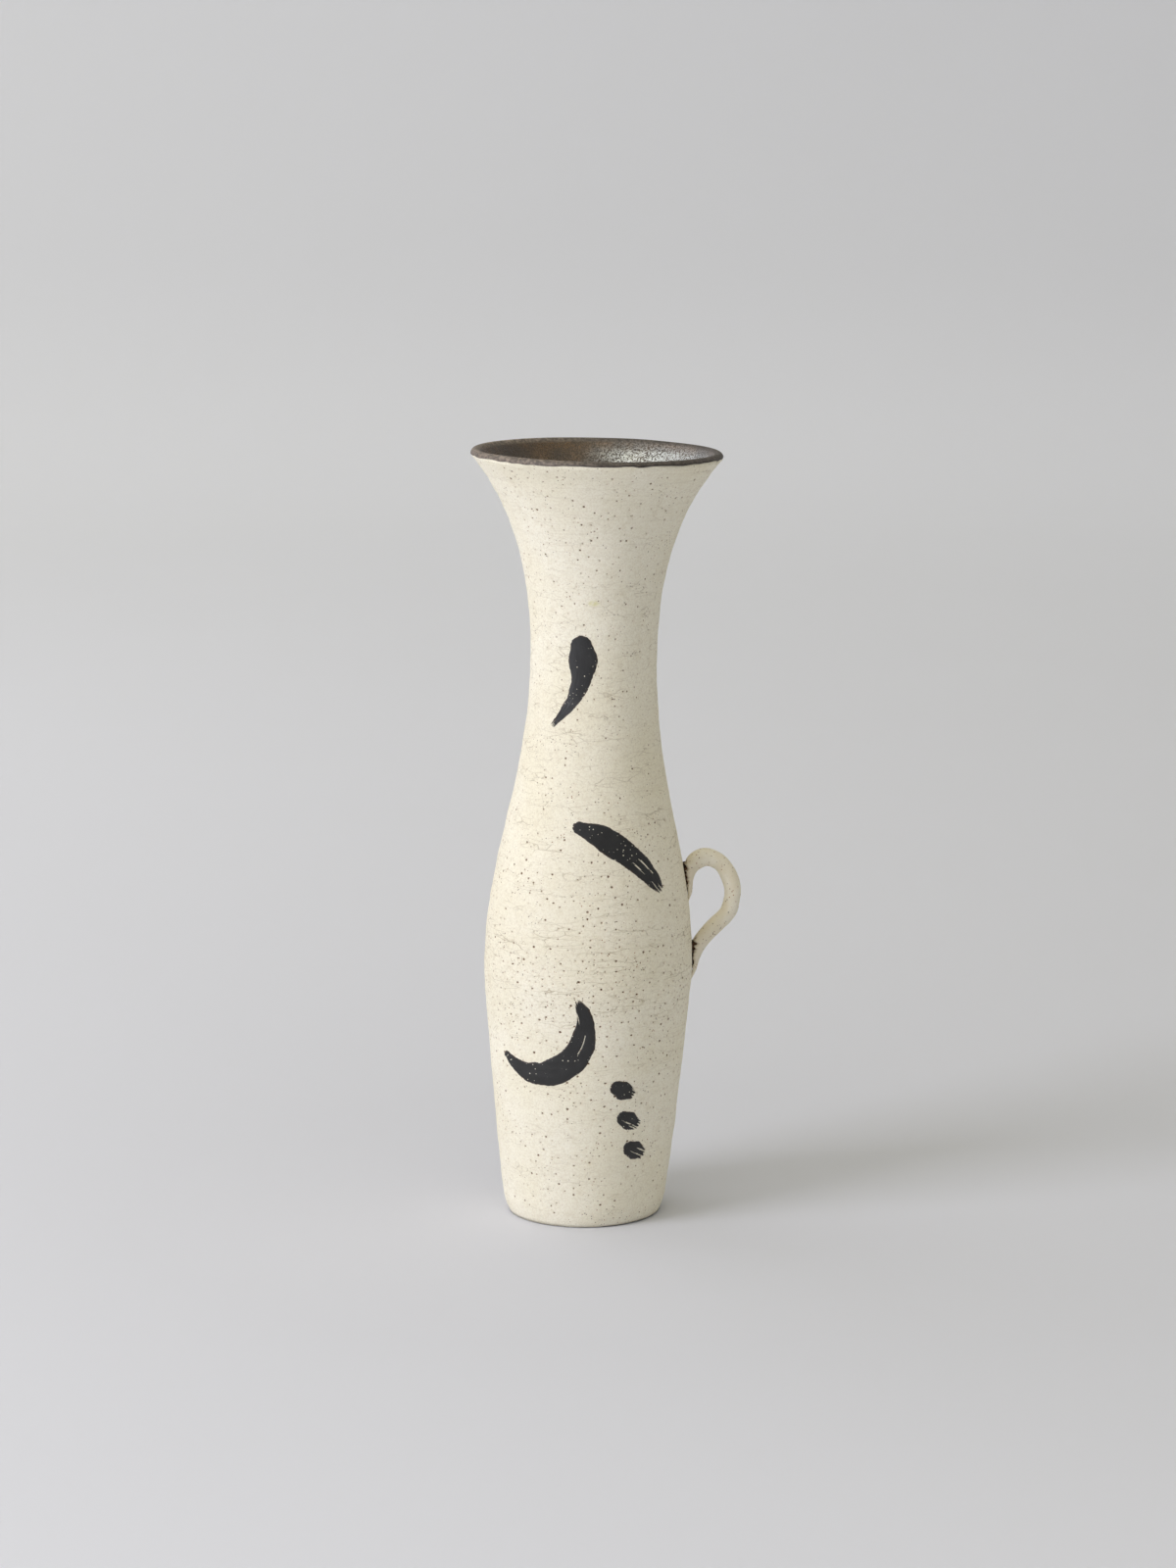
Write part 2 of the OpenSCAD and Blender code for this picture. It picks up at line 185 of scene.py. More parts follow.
def skin_chain():
    """The outside of the wall as a chain, from the foot to the lip's round."""
    wall = until_corner(section("slip_coat"))
    lip = glaze_chain[: np.argmax(glaze_chain[:, 1])]
    apart = 0.15
    above = (lip[:, 1] > wall[-1, 1] + apart) & (lip[:, 1] < CREST_Z - BAND_H / 2)
    return np.concatenate([wall, lip[above]])


SKIN_R, SKIN_Z = skin_chain().T
SKIN_SLOPE = np.gradient(SKIN_R, SKIN_Z)
COAT_TOP = CREST_Z - BAND_H + BAND_TUCK


def skin_radius(z):
    return cubic(SKIN_Z, SKIN_R, np.asarray(z, float))


def skin_tilt(z):
    return np.arctan(np.interp(z, SKIN_Z, SKIN_SLOPE))


RELIEF_MOST = 0.26
RING_PITCH = 6.3
RING_HEIGHT = 0.035
FLARE_Z = 205
FLARE_HALF = 15
FLARE_RING_HEIGHT = 0.05
DENT_HEIGHT = 0.05
WOBBLE_HEIGHT = 0.09
dents = wave_field(11, 9, 30, 9)
wobble = wave_field(12, 60, 200, 3, 10)
ring_swell = wave_field(13, 25, 80, 3)


def relief(azimuth, z):
    """How far the thrown wall stands out: spiral rings, dents and an uneven round."""
    spiral = np.cos(FULL_TURN * z / RING_PITCH - azimuth)
    fine = np.cos(FULL_TURN * z / (RING_PITCH * 0.43) - 2 * azimuth)
    height = RING_HEIGHT + FLARE_RING_HEIGHT * soft_step(FLARE_Z - FLARE_HALF, FLARE_Z + FLARE_HALF, z)
    rings = height * (0.6 + 0.4 * ring_swell(azimuth, z)) * (spiral + 0.6 * fine)
    height = rings + DENT_HEIGHT * dents(azimuth, z) + WOBBLE_HEIGHT * wobble(azimuth, z)
    return RELIEF_MOST * np.tanh(height / RELIEF_MOST)


def leaned(x, y, z):
    """Points of the upright vase in the frame, in metres."""
    c, s = cos(LEAN), sin(LEAN)
    return np.stack([x * c + z * s, y + 0 * x, z * c - x * s], -1) * MM


def round_axis(azimuth, r, z):
    return leaned(r * np.sin(azimuth), -r * np.cos(azimuth), z)


def on_wall(azimuth, z, out=0.0):
    """Points that stand out from the slip's face, square to it."""
    tilt = skin_tilt(z)
    lift = out + relief(azimuth, z)
    return round_axis(azimuth, skin_radius(z) + lift * np.cos(tilt), z - lift * np.sin(tilt))


# Meshes


def quads_of(rows, columns, closed):
    """Quads of a grid with rows upwards and columns to the right, round the vase if closed."""
    i, j = np.meshgrid(np.arange(rows - 1), np.arange(columns if closed else columns - 1), indexing="ij")
    right = (j + 1) % columns
    low, high = i * columns, (i + 1) * columns
    return np.stack([low + j, low + right, high + right, high + j], -1)


def closing_band(columns, start):
    """Quads from the closed row that begins at start back to the first row."""
    j = np.arange(columns)
    right = (j + 1) % columns
    return np.stack([start + j, start + right, right, j], -1).tolist()


def read(items, key, width=1, kind=float):
    """One value, or a few, of each item of a mesh."""
    values = np.zeros(len(items) * width, kind)
    items.foreach_get(key, values)
    return values.reshape(-1, width) if width > 1 else values


def unwrapped(mesh, places):
    """Gives a mesh the map for baking its looks, from a place for each point.
    A face across the map's join runs on past its end."""
    uv = places[read(mesh.loops, "vertex_index", kind=int)]
    starts = read(mesh.polygons, "loop_start", kind=int)
    sizes = read(mesh.polygons, "loop_total", kind=int)
    for way in (0, 1):
        span = np.maximum.reduceat(uv[:, way], starts) - np.minimum.reduceat(uv[:, way], starts)
        crosses = np.repeat(span > 0.5, sizes)
        uv[crosses & (uv[:, way] < 0.5), way] += 1
    mesh.uv_layers.new(name="OFBake").data.foreach_set("uv", uv.astype(np.float32).ravel())


def ring_places(columns, levels):
    """Places on that map for closed rows of points, from each row's level on it."""
    around, up = np.meshgrid(np.arange(columns) / columns, levels)
    return np.stack([around.ravel(), up.ravel()], -1)


def mark_points(mesh, attributes):
    """Gives a mesh's points values that its looks read by name."""
    for key, values in attributes:
        data = mesh.attributes.new(key, "FLOAT", "POINT").data
        data.foreach_set("value", np.asarray(values, np.float32))


def piece_from(name, points, faces, node, material, weld=False, attributes=(), places=None):
    """A piece that stands for a CAD node, from points in metres and lists of corners."""
    mesh = bpy.data.meshes.new(name)
    mesh.from_pydata(points.tolist(), [], [list(map(int, f)) for f in faces])
    if places is not None:
        unwrapped(mesh, places)
    mark_points(mesh, attributes)
    if weld:
        work = bmesh.new()
        work.from_mesh(mesh)
        bmesh.ops.remove_doubles(work, verts=work.verts, dist=WELD)
        work.to_mesh(mesh)
        work.free()
    mesh.validate()
    dressed(name, mesh, node, material)


def placed(name, data):
    """A new object in the scene."""
    thing = bpy.data.objects.new(name, data)
    bpy.context.scene.collection.objects.link(thing)
    return thing


def dressed(name, mesh, node, material):
    mesh.shade_smooth()
    mesh.materials.clear()
    mesh.materials.append(material)
    piece = placed(name, mesh)
    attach(piece, "root")
    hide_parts(node)


# Materials


def colour(red, green, blue):
    """A screen colour of 0 to 255 as a socket's linear colour."""
    def linear(c):
        c /= 255
        return c / 12.92 if c <= 0.04045 else ((c + 0.055) / 1.055) ** 2.4
    return linear(red), linear(green), linear(blue), 1.0


class Look:
    """A material, and short calls for its nodes. Sizes are millimetres."""

    def __init__(self, name, roughness, specular):
        self.material = bpy.data.materials.new(name)
        self.material.use_nodes = True
        self.tree = self.material.node_tree
        self.shader = self.tree.nodes["Principled BSDF"]
        self.shader.inputs["Roughness"].default_value = roughness
        self.shader.inputs["Specular IOR Level"].default_value = specular
        self.place = self.scaled(self.add("TexCoord", {}).outputs["Object"], (1 / MM,) * 3)
        self.axes = self.parts(self.place)
        self.across, self.height = self.axes["X"], self.axes["Z"]
        self.base = self.normal = None

    def parts(self, vector):
        return self.add("SeparateXYZ", {"Vector": vector}).outputs

    def azimuth(self, parts):
        """The angle round the vase, from the front to the right."""
        return self.math("ARCTAN2", parts["X"], self.times(parts["Y"], -1))

    def wrapped(self, radius):
        """The place unrolled from the axis: across at a radius, nothing and up."""
        unrolled = {"X": self.times(self.azimuth(self.axes), radius), "Z": self.height}
        return self.add("CombineXYZ", unrolled).outputs["Vector"]

    def add(self, kind, inputs, **settings):
        node = self.tree.nodes.new("ShaderNode" + kind)
        for key, value in settings.items():
            setattr(node, key, value)
        for key, value in inputs.items():
            self.feed(node.inputs[key], value)
        return node

    def feed(self, socket, value):
        if isinstance(value, bpy.types.NodeSocket):
            self.tree.links.new(value, socket)
        else:
            socket.default_value = value

    def scaled(self, vector, factors):
        return self.add("VectorMath", {0: vector, 1: factors}, operation="MULTIPLY").outputs[0]

    def shifted(self, vector, amount):
        return self.add("VectorMath", {0: vector, 1: amount}, operation="ADD").outputs[0]

    def length(self, vector):
        return self.add("VectorMath", {0: vector}, operation="LENGTH").outputs["Value"]

    def math(self, operation, a, b=0.0):
        return self.add("Math", {0: a, 1: b}, operation=operation).outputs[0]

    def times(self, first, *others):
        for other in others:
            first = self.math("MULTIPLY", first, other)
        return first

    def plus(self, a, b):
        return self.math("ADD", a, b)

    def off_level(self, level):
        """How far a place is from a level."""
        return self.math("ABSOLUTE", self.plus(self.height, -level))

    def noise(self, size, detail, vector=None, output="Fac"):
        """Noise with features of a size and a number of finer layers."""
        inputs = {"Vector": vector or self.place, "Scale": 1 / size, "Detail": detail}
        return self.add("TexNoise", inputs).outputs[output]

    def bent(self, vector, size, amount):
        """A vector pushed about by noise."""
        push = self.shifted(self.noise(size, 2, vector, "Color"), (-0.5,) * 3)
        return self.shifted(vector, self.scaled(push, (amount,) * 3))

    def dots(self, size, vector=None, feature="F1"):
        """Distance to the nearest of points scattered size apart."""
        inputs = {"Vector": vector or self.place, "Scale": 1 / size}
        return self.times(self.add("TexVoronoi", inputs, feature=feature).outputs["Distance"], size)

    def seams(self, size, vector):
        """Distance to the nearest edge between the cells round such points."""
        return self.dots(size, vector, "DISTANCE_TO_EDGE")

    def step(self, value, low, high, at_low=0.0, at_high=1.0):
        """A smooth change from at_low, where the value is low, to at_high."""
        inputs = {"Value": value, "From Min": low, "From Max": high, "To Min": at_low, "To Max": at_high}
        return self.add("MapRange", inputs, interpolation_type="SMOOTHSTEP").outputs["Result"]

    def mix(self, share, a, b):
        return self.add("MixRGB", {"Fac": share, "Color1": a, "Color2": b}).outputs[0]

    def attribute(self, name):
        return self.add("Attribute", {}, attribute_name=name).outputs["Fac"]

    def paint(self, share, coat):
        """Lays a share of a coat over what is there."""
        self.base = self.mix(share, self.base, coat)

    def bump(self, height, depth):
        """Adds a bump whose height of 1 stands for a depth."""
        node = self.add("Bump", {"Height": height, "Distance": depth * MM, "Strength": 1.0})
        if self.normal is not None:
            self.feed(node.inputs["Normal"], self.normal)
        self.normal = node.outputs["Normal"]

    def finish(self, **others):
        for socket, value in {"Base Color": self.base, "Normal": self.normal, **others}.items():
            if value is not None:
                self.feed(self.shader.inputs[socket], value)
        return self.material


SLIP_PALE = colour(252, 247, 229)
SLIP_WARM = colour(248, 242, 220)
SLIP_DARK = colour(225, 214, 188)
CRACK_BROWN = colour(142, 119, 82)
PIT_BROWN = colour(92, 54, 12)
RUST = colour(160, 98, 36)
SPECK_SPACING = 1.3
SPECK_R = 0.15
SPECK_STRENGTH = 0.8
SPECK_Z = 78
# Height and half height of a band of painted shade round the mid-body.
MID_SHADE_Z = 128
MID_SHADE_HALF = 62
CRACKLE_Z = 168
CRACKLE_HALF = 30
CRACKLE_R = 25
DENSE_Z = 85
DENSE_HALF = 10
STAIN_YELLOW = colour(226, 220, 160)
STAIN_AT = (-3.3, 20.8, -203.4)
STAIN_STRENGTH = 0.7


def crackle(look, flare):
    """Long level cracks and a fine net of short ones, strongest on the neck and the belly."""
    unrolled = look.wrapped(CRACKLE_R)
    flat = look.scaled(look.bent(unrolled, 2.4, 0.7), (0.2, 1.0, 1.0))
    wide = look.step(look.seams(1.8, flat), 0.014, 0.06, 1, 0)
    short = look.scaled(unrolled, (0.3, 1.0, 1.0))
    wide = look.times(wide, look.step(look.noise(4.4, 3, short), 0.48, 0.6))
    small = look.scaled(look.bent(unrolled, 1.2, 0.9), (0.6, 1.0, 1.0))
    net = look.step(look.seams(1.15, small), 0.02, 0.09, 1, 0)
    net = look.times(net, look.step(look.noise(1.7, 2, unrolled), 0.4, 0.64, 0.06, 0.5))
    neck = look.step(look.off_level(CRACKLE_Z), CRACKLE_HALF, 2.6 * CRACKLE_HALF, 0.42, 0.23)
    belly = look.step(look.off_level(DENSE_Z), DENSE_HALF, 2 * DENSE_HALF, 0.25, 0)
    strength = look.times(look.plus(neck, belly), look.step(flare, 0, 1, 1, 0.75))
    return look.times(look.math("MAXIMUM", wide, net), strength)


def specks(look):
    """Fine specks in clouds, a little larger on the belly."""
    crowd = look.step(look.noise(9, 2), 0.36, 0.66, 0.35, 1.3)
    belly = look.step(look.off_level(SPECK_Z), 12, 75, 1.2, 1.05)
    nearest = look.dots(SPECK_SPACING, look.bent(look.place, 0.8, 0.45))
    return look.step(look.math("DIVIDE", nearest, look.times(crowd, belly, SPECK_R)), 0.7, 1.2, 1, 0)


def cream_slip():
    """Dry cream slip, mottled and crackled, with fine specks and pits down to the dark clay, and painted
    shade in a band round the mid-body.
    """
    look = Look("cream_slip", 0.92, 0.1)
    grain = look.noise(0.6, 4)
    look.base = look.mix(look.step(look.noise(26, 3), 0.35, 0.7), SLIP_PALE, SLIP_WARM)
    look.paint(look.step(look.noise(3.2, 4), 0.5, 0.8, 0, 0.35), SLIP_DARK)
    look.paint(look.step(grain, 0.38, 0.68, 0, 0.4), SLIP_DARK)
    # Painted shade: a band round the mid-body is painted a little darker.
    look.paint(look.step(look.off_level(MID_SHADE_Z), 0.5 * MID_SHADE_HALF, MID_SHADE_HALF, 0.12, 0), SLIP_DARK)
    flare = look.step(look.height, FLARE_Z - 20, FLARE_Z + 15)
    level = look.noise(0.6, 3, look.scaled(look.place, (0.03, 0.03, 1.0)))
    patches = look.step(look.noise(13, 2), 0.42, 0.6, 0.15, 1)
    streak = look.times(look.step(level, 0.52, 0.75), patches, look.step(flare, 0, 1, 0.04, 0.1))
    look.paint(streak, CRACK_BROWN)
    line = crackle(look, flare)
    look.paint(line, CRACK_BROWN)
    near = look.length(look.scaled(look.shifted(look.place, STAIN_AT), (1.0, 1.0, 1.9)))
    stain = look.times(look.step(near, 0.6, 2.6, 1, 0), look.step(look.noise(0.9, 3), 0.34, 0.54, 0.25, 1))
    look.paint(look.times(stain, STAIN_STRENGTH), STAIN_YELLOW)
    speck = specks(look)
    rusty = look.mix(look.step(look.noise(2.1, 1), 0.45, 0.65), PIT_BROWN, RUST)
    look.paint(look.times(speck, SPECK_STRENGTH), rusty)
    pit = look.attribute("pit")
    look.paint(pit, look.mix(look.step(pit, 0.3, 0.8), RUST, PIT_BROWN))
    look.bump(grain, 0.05)
    look.bump(look.plus(look.times(line, -1), look.times(speck, -0.7)), 0.1)
    look.bump(level, 0.06)
    return look.finish()


COIL_PALE = colour(244, 238, 219)
COIL_WARM = colour(237, 228, 203)
# Used for the coil's darker grain and for painted shade where the coil meets the wall.
COIL_GRAIN_AND_SHADE = colour(233, 224, 203)
LUTE_BROWN = colour(96, 70, 48)
# Dark of the luting slip, also used for painted shade on the foot.
LUTE_AND_SHADE_DARK = colour(36, 26, 19)


def coil_slip():
    """The handle's slip: thinner, smoother and a little darker than the body's, with painted shade towards
    where it meets the wall.
    """
    look = Look("coil_slip", 0.86, 0.15)
    grain = look.noise(0.55, 4)
    look.base = look.mix(look.step(look.noise(5, 3), 0.35, 0.68), COIL_PALE, COIL_WARM)
    # Painted shade: the coil is painted darker where it meets the wall.
    look.paint(look.times(look.attribute("root"), 0.85), COIL_GRAIN_AND_SHADE)
    look.paint(look.step(grain, 0.38, 0.7, 0, 0.4), COIL_GRAIN_AND_SHADE)
    speck = look.step(look.dots(1.15), 0.14, 0.28, 1, 0)
    speck = look.times(speck, look.step(look.noise(2.6, 2), 0.38, 0.58, 0.3, 0.8))
    look.paint(speck, look.mix(look.step(look.noise(1.9, 1), 0.4, 0.6), PIT_BROWN, RUST))
    stain = look.times(look.attribute("stain"), look.step(look.noise(0.9, 3), 0.3, 0.6))
    look.paint(look.times(stain, 0.75), LUTE_BROWN)
    look.bump(grain, 0.035)
    look.bump(look.times(speck, -1), 0.05)
    return look.finish()


def luting_slip():
    """Dark clay slip, dry and crumbly."""
    look = Look("luting_slip", 0.95, 0.2)
    lumps = look.noise(0.9, 4)
    look.base = look.mix(look.step(lumps, 0.4, 0.65), LUTE_AND_SHADE_DARK, LUTE_BROWN)
    look.bump(lumps, 0.25)
    return look.finish()


MARK_BLACK = colour(14, 14, 14)
MARK_GREY = colour(30, 30, 30)
MARK_EDGE = colour(80, 58, 44)


def black_slip():
    """Satin black slip, thin and brown at its edges, with pinholes that show the cream."""
    look = Look("black_slip", 0.5, 0.65)
    cloud = look.noise(5, 3)
    grain = look.noise(0.45, 3)
    look.base = look.mix(look.step(cloud, 0.4, 0.7), MARK_BLACK, MARK_GREY)
    look.paint(look.step(grain, 0.45, 0.75, 0, 0.5), MARK_GREY)
    rim = look.times(look.attribute("rim"), look.step(look.noise(1.2, 2), 0.35, 0.6))
    look.paint(look.times(rim, 0.8), MARK_EDGE)
    crowd = look.step(look.noise(6, 2), 0.4, 0.66, 0.3, 1.15)
    pin = look.step(look.math("DIVIDE", look.dots(1.15), look.times(crowd, 0.19)), 0.7, 1.1, 1, 0)
    look.paint(look.times(pin, 0.9), SLIP_WARM)
    look.bump(grain, 0.05)
    look.bump(look.times(pin, -1), 0.08)
    return look.finish(Roughness=look.step(cloud, 0.3, 0.7, 0.44, 0.56))


GLAZE_AMBER = colour(108, 79, 46)
GLAZE_BROWN = colour(74, 57, 40)
GLAZE_DARK = colour(36, 27, 20)
# Colour of the painted reflection inside the glaze, and where it lies.
PAINTED_SHEEN_SILVER = colour(208, 211, 209)
GLAZE_IOR = 1.6
SHEEN_FROM, SHEEN_TO = -2, 16
SHEEN_BRIGHTER = (16, 30)
SHEEN_RAGGED = 12
SHEEN_BELOW_LIP = 1.6
SHEEN_FADE = 4
LIP_BROWN = colour(146, 132, 118)
LIP_BLACK = colour(36, 31, 27)


def bronze_glaze():
    """Dark bronze glaze, dry and thin over the lip. A painted reflection, silver and metallic, lies on one
    side, and the lip and its edge are painted lighter on the left and darker on the right.
    """
    look = Look("bronze_glaze", 0.35, 0.5)
    cloud = look.noise(9, 3)
    crystals = look.noise(0.55, 3)
    look.base = look.mix(look.step(cloud, 0.4, 0.66), GLAZE_BROWN, GLAZE_AMBER)
    look.paint(look.step(crystals, 0.46, 0.62, 0.6, 0), GLAZE_DARK)
    # Painted reflection: silver is painted over the inside on the right, brightest at the far right and
    # lower down, fading below the lip, broken up by the crystals.
    ragged = look.plus(look.across, look.times(look.noise(7, 2), SHEEN_RAGGED))
    middle = SHEEN_RAGGED / 2
    side = look.step(ragged, SHEEN_FROM + middle, SHEEN_TO + middle, 0.04, 1)
    brighter_far_right = look.step(look.across, *SHEEN_BRIGHTER, 1, 1.35)
    sheen_top = CREST_Z - SHEEN_BELOW_LIP
    deep = look.step(look.height, sheen_top - SHEEN_FADE, sheen_top, 1, 0.2)
    painted_sheen = look.times(side, brighter_far_right, deep, look.step(crystals, 0.4, 0.56, 0.08, 1))
    look.paint(painted_sheen, PAINTED_SHEEN_SILVER)
    lip = look.attribute("lip")
    # The lip's own brown patches, and painted light: the lip is painted brown on the left and mostly black
    # on the right.
    patches_and_painted_light = look.step(look.noise(1.1, 4), 0.38, 0.64, 0.35, 1)
    patches_and_painted_light = look.times(patches_and_painted_light, look.step(look.across, -25, 15, 1, 0.3))
    look.paint(lip, look.mix(patches_and_painted_light, LIP_BLACK, LIP_BROWN))
    # The glaze's dark lower edge, with painted shade: the line is painted darker on the right than on the
    # left.
    edge = look.times(look.attribute("edge"), look.step(look.across, -15, 20, 0.2, 0.9))
    look.paint(edge, GLAZE_DARK)
    rough = look.plus(look.step(look.noise(0.3, 2), 0.3, 0.7, 0.22, 0.42), look.times(lip, 0.25))
    look.bump(crystals, 0.26)
    look.bump(cloud, 0.4)
    # The glaze is metallic where the painted reflection lies, but not on the lip.
    metal = look.times(painted_sheen, look.step(lip, 0, 1, 1, 0), 0.8)
    return look.finish(Roughness=rough, Metallic=metal, IOR=GLAZE_IOR)


CLAY_DARK = colour(80, 60, 46)
CLAY_PALE = colour(108, 84, 65)
CLAY_GROG = colour(146, 120, 96)
TURNED_PITCH = 1.7
TURNED_H = 0.22
# How dark the painted shade on the foot's right side is.
FOOT_PAINTED_SHADE = 0.6


def dark_clay():
    """Bare stoneware with grog: a turning tool's spiral underneath, and painted shade on the foot's right
    side, where the handle is.
    """
    look = Look("dark_clay", 0.9, 0.2)
    look.base = look.mix(look.step(look.noise(9, 5), 0.35, 0.7), CLAY_DARK, CLAY_PALE)
    bent = look.bent(look.place, 5, 0.8)
    parts = look.parts(bent)
    away = look.length(look.scaled(bent, (1.0, 1.0, 0.0)))
    spiral = look.plus(look.times(away, FULL_TURN / TURNED_PITCH), look.azimuth(parts))
    groove = look.times(look.math("SINE", spiral), look.step(look.height, 0.1, 0.3, 1, 0))
    look.paint(look.step(groove, 0.1, 1, 0, 0.35), CLAY_PALE)
    # Painted shade: the side of the foot is painted darker on the right.
    dark = look.times(look.step(look.height, 0.02, 0.1), look.step(parts["X"], 8, 16, 0, FOOT_PAINTED_SHADE))
    look.paint(dark, LUTE_AND_SHADE_DARK)
    grog = look.step(look.dots(1.5), 0.16, 0.3, 1, 0)
    look.paint(look.times(grog, look.step(look.noise(3, 2), 0.4, 0.6, 0.1, 0.8)), CLAY_GROG)
    look.bump(look.plus(look.noise(0.6, 3), grog), 0.1)
    look.bump(groove, TURNED_H / 2)
    return look.finish()


# Pieces


COAT_T = 0.5
COAT_COLUMNS = 176
COAT_SAMPLES = 900
COAT_ROW = 1.12
COAT_INNER_ROWS = 20
FOOT_RAGGED = 0.05
FOOT_RISE = 0.26
FOOT_FADE = 2.5
BRIM_DROP = 0.12
BRIM_PROFILE = [(1.0, 0.0), (0.62, -0.02), (0.28, 0.03), (0.08, 0.14)]
MAP_BRIM, MAP_OUTER, MAP_INNER = (0, 0.015), (0.02, 0.92), (0.925, 0.985)
PIT_HEIGHTS = [0, 20, 45, 70, 84, 97, 115, 150, 185, 215, 250]
PITS_PER_CM2 = [3.6, 6.4, 9.2, 13.0, 16.0, 8.0, 3.6, 2.4, 2.6, 5.2, 5.4]
PIT_RINGS = [(73, 1.4, 7.0), (81, 1.6, 8.0), (90, 1.2, 7.0), (122, 1.2, 3.0)]
PIT_MARGIN = 3
PIT_R = 0.25
PIT_R_SPREAD = 0.42
PIT_MOST = 0.44
PIT_SQUASH = (0.6, 1.0)
PIT_UNEVEN = (0.8, 1.15)
PIT_DARK = (0.7, 1.0)
PIT_SIDES = 8
PIT_DEEP, PIT_DEEPER = 0.08, 0.5
PIT_PROFILE = [(1, 0), (0.84, 0.6), (0, 1)]
PIT_HALO = 0.15


def pit_density(z):
    """Pits to the square centimetre at a height, with a few level rows of them."""
    density = np.interp(z, PIT_HEIGHTS, PITS_PER_CM2)
    for middle, half, more in PIT_RINGS:
        density = density + more * np.exp(-(((z - middle) / half) ** 2))
    return density


def slip_coat(material):
    """The slip as a closed skin with a soft lower edge and real pits."""
    rng = np.random.default_rng(21)
    columns = COAT_COLUMNS
    levels = np.linspace(COAT_FOOT, COAT_TOP, COAT_SAMPLES)
    along = lengths_along(np.stack([skin_radius(levels), levels], -1))
    count = int(along[-1] / COAT_ROW)
    heights = np.interp(np.linspace(0, along[-1], count), along, levels)
    azimuths = turns(columns)
    edge = FOOT_RAGGED * np.tanh(noise_line(rng, 4, columns)) * join_fade(columns)
    edge = edge + FOOT_RISE * soft_step(-0.25, 0.75, np.sin(azimuths))
    level = skin_radius(COAT_FOOT) * tan(LEAN) * np.sin(azimuths)
    z = heights[:, None] + (edge + level) * np.exp(-(heights - COAT_FOOT) / FOOT_FADE)[:, None]
    outer = on_wall(azimuths, z)
    brim = [on_wall(azimuths, z[0] + up - BRIM_DROP, -share * COAT_T) for share, up in BRIM_PROFILE]
    inner_heights = np.linspace(COAT_TOP, COAT_FOOT, COAT_INNER_ROWS)[:-1]
    inner = [on_wall(azimuths, np.full(columns, h), -COAT_T) for h in inner_heights]
    grid = np.concatenate([brim, outer, inner])
    rows, first = len(grid), len(brim)
    quads = quads_of(rows, columns, True)
    up_map = np.concatenate([np.linspace(*MAP_BRIM, first), np.linspace(*MAP_OUTER, count),
                             np.linspace(*MAP_INNER, len(inner))])
    points = [grid.reshape(-1, 3)]
    places = [ring_places(columns, up_map)]
    pit_value = [np.zeros(rows * columns)]
    faces, taken, used = [], np.zeros((rows, columns), bool), rows * columns
    for i in range(PIT_MARGIN, count - PIT_MARGIN):
        row = first + i
        ring_cm2 = FULL_TURN * skin_radius(heights[i]) * COAT_ROW / 100
        for _ in range(rng.poisson(pit_density(heights[i]) * ring_cm2)):
            j = int(rng.integers(columns))
            if taken[row - 1 : row + 2, [j - 1, j, (j + 1) % columns]].any():
                continue
            taken[row, j] = True
            sides = azimuths[j], azimuths[j] + FULL_TURN / columns
            new_points, new_values, new_faces, where = pit(rng, sides, z[i : i + 2, j], quads[row, j], used)
            up = mix(up_map[row], up_map[row + 1], where[:, 1])
            places.append(np.stack([(j + where[:, 0]) / columns, up], -1))
            points.append(new_points)
            pit_value.append(new_values)
            faces += new_faces
            used += len(new_points)
    faces += quads[~taken[:-1]].tolist() + closing_band(columns, (rows - 1) * columns)
    piece_from("slip_skin", np.concatenate(points), faces, "slip_coat", material,
               attributes=[("pit", np.concatenate(pit_value))], places=np.concatenate(places))


def pit(rng, azimuths, heights, corners, used):
    """A pit in a cell of the coat: its rim, wall and floor, and where they lie in the cell.
    Corners run round from the lower left."""
    middle_az, middle_z = np.mean(azimuths), np.mean(heights)
    wide, tall = azimuths[1] - azimuths[0], heights[1] - heights[0]
    r, slope = skin_radius(middle_z), cos(skin_tilt(middle_z))
    most = PIT_MOST * min(tall / slope, wide * r)
    size = min(most, PIT_R * exp(PIT_R_SPREAD * rng.normal()))
    squash = rng.uniform(*PIT_SQUASH)
    turn = turns(PIT_SIDES)
    reach = size * rng.uniform(*PIT_UNEVEN, PIT_SIDES).clip(0, most / size)
    dark = rng.uniform(*PIT_DARK)
    deep = PIT_DEEP + PIT_DEEPER * size
    rings, where = [], []
    for share, depth in PIT_PROFILE:
        sides = PIT_SIDES if share else 1
        az = (middle_az + share * reach * np.cos(turn) / r)[:sides]
        up = (middle_z + share * reach * squash * np.sin(turn) * slope)[:sides]
        rings.append(on_wall(az, up, -depth * deep))
        where.append(np.stack([(az - azimuths[0]) / wide, (up - heights[0]) / tall], -1))
    rim, wall, centre = used, used + PIT_SIDES, used + 2 * PIT_SIDES
    faces = []
    for side in range(4):
        a, b = corners[(side + 1) % 4], corners[(side + 2) % 4]
        k = 2 * side
        faces += [[a, b, rim + k], [b, rim + k + 1, rim + k], [a, rim + k, rim + (k - 1) % PIT_SIDES]]
    for k in range(PIT_SIDES):
        ahead = (k + 1) % PIT_SIDES
        faces += [[rim + k, rim + ahead, wall + ahead, wall + k], [wall + k, wall + ahead, centre]]
    values = np.concatenate([np.full(PIT_SIDES, PIT_HALO * dark), np.full(PIT_SIDES + 1, dark)])
    return np.concatenate(rings), values, faces, np.concatenate(where)


LINING_COLUMNS = 192
LINING_T = 0.3
LINING_PROUD = 0.1
LINING_SWELL = 0.06
LINING_GROWTH = 0.03
LINING_ROW = (0.16, 3.2)
LINING_LAST = 0.4
LAP_RAGGED = 0.17
BAND_SWING = 0.15
BAND_NARROWEST = radians(20)
lining_dents = wave_field(31, 12, 40, 6)


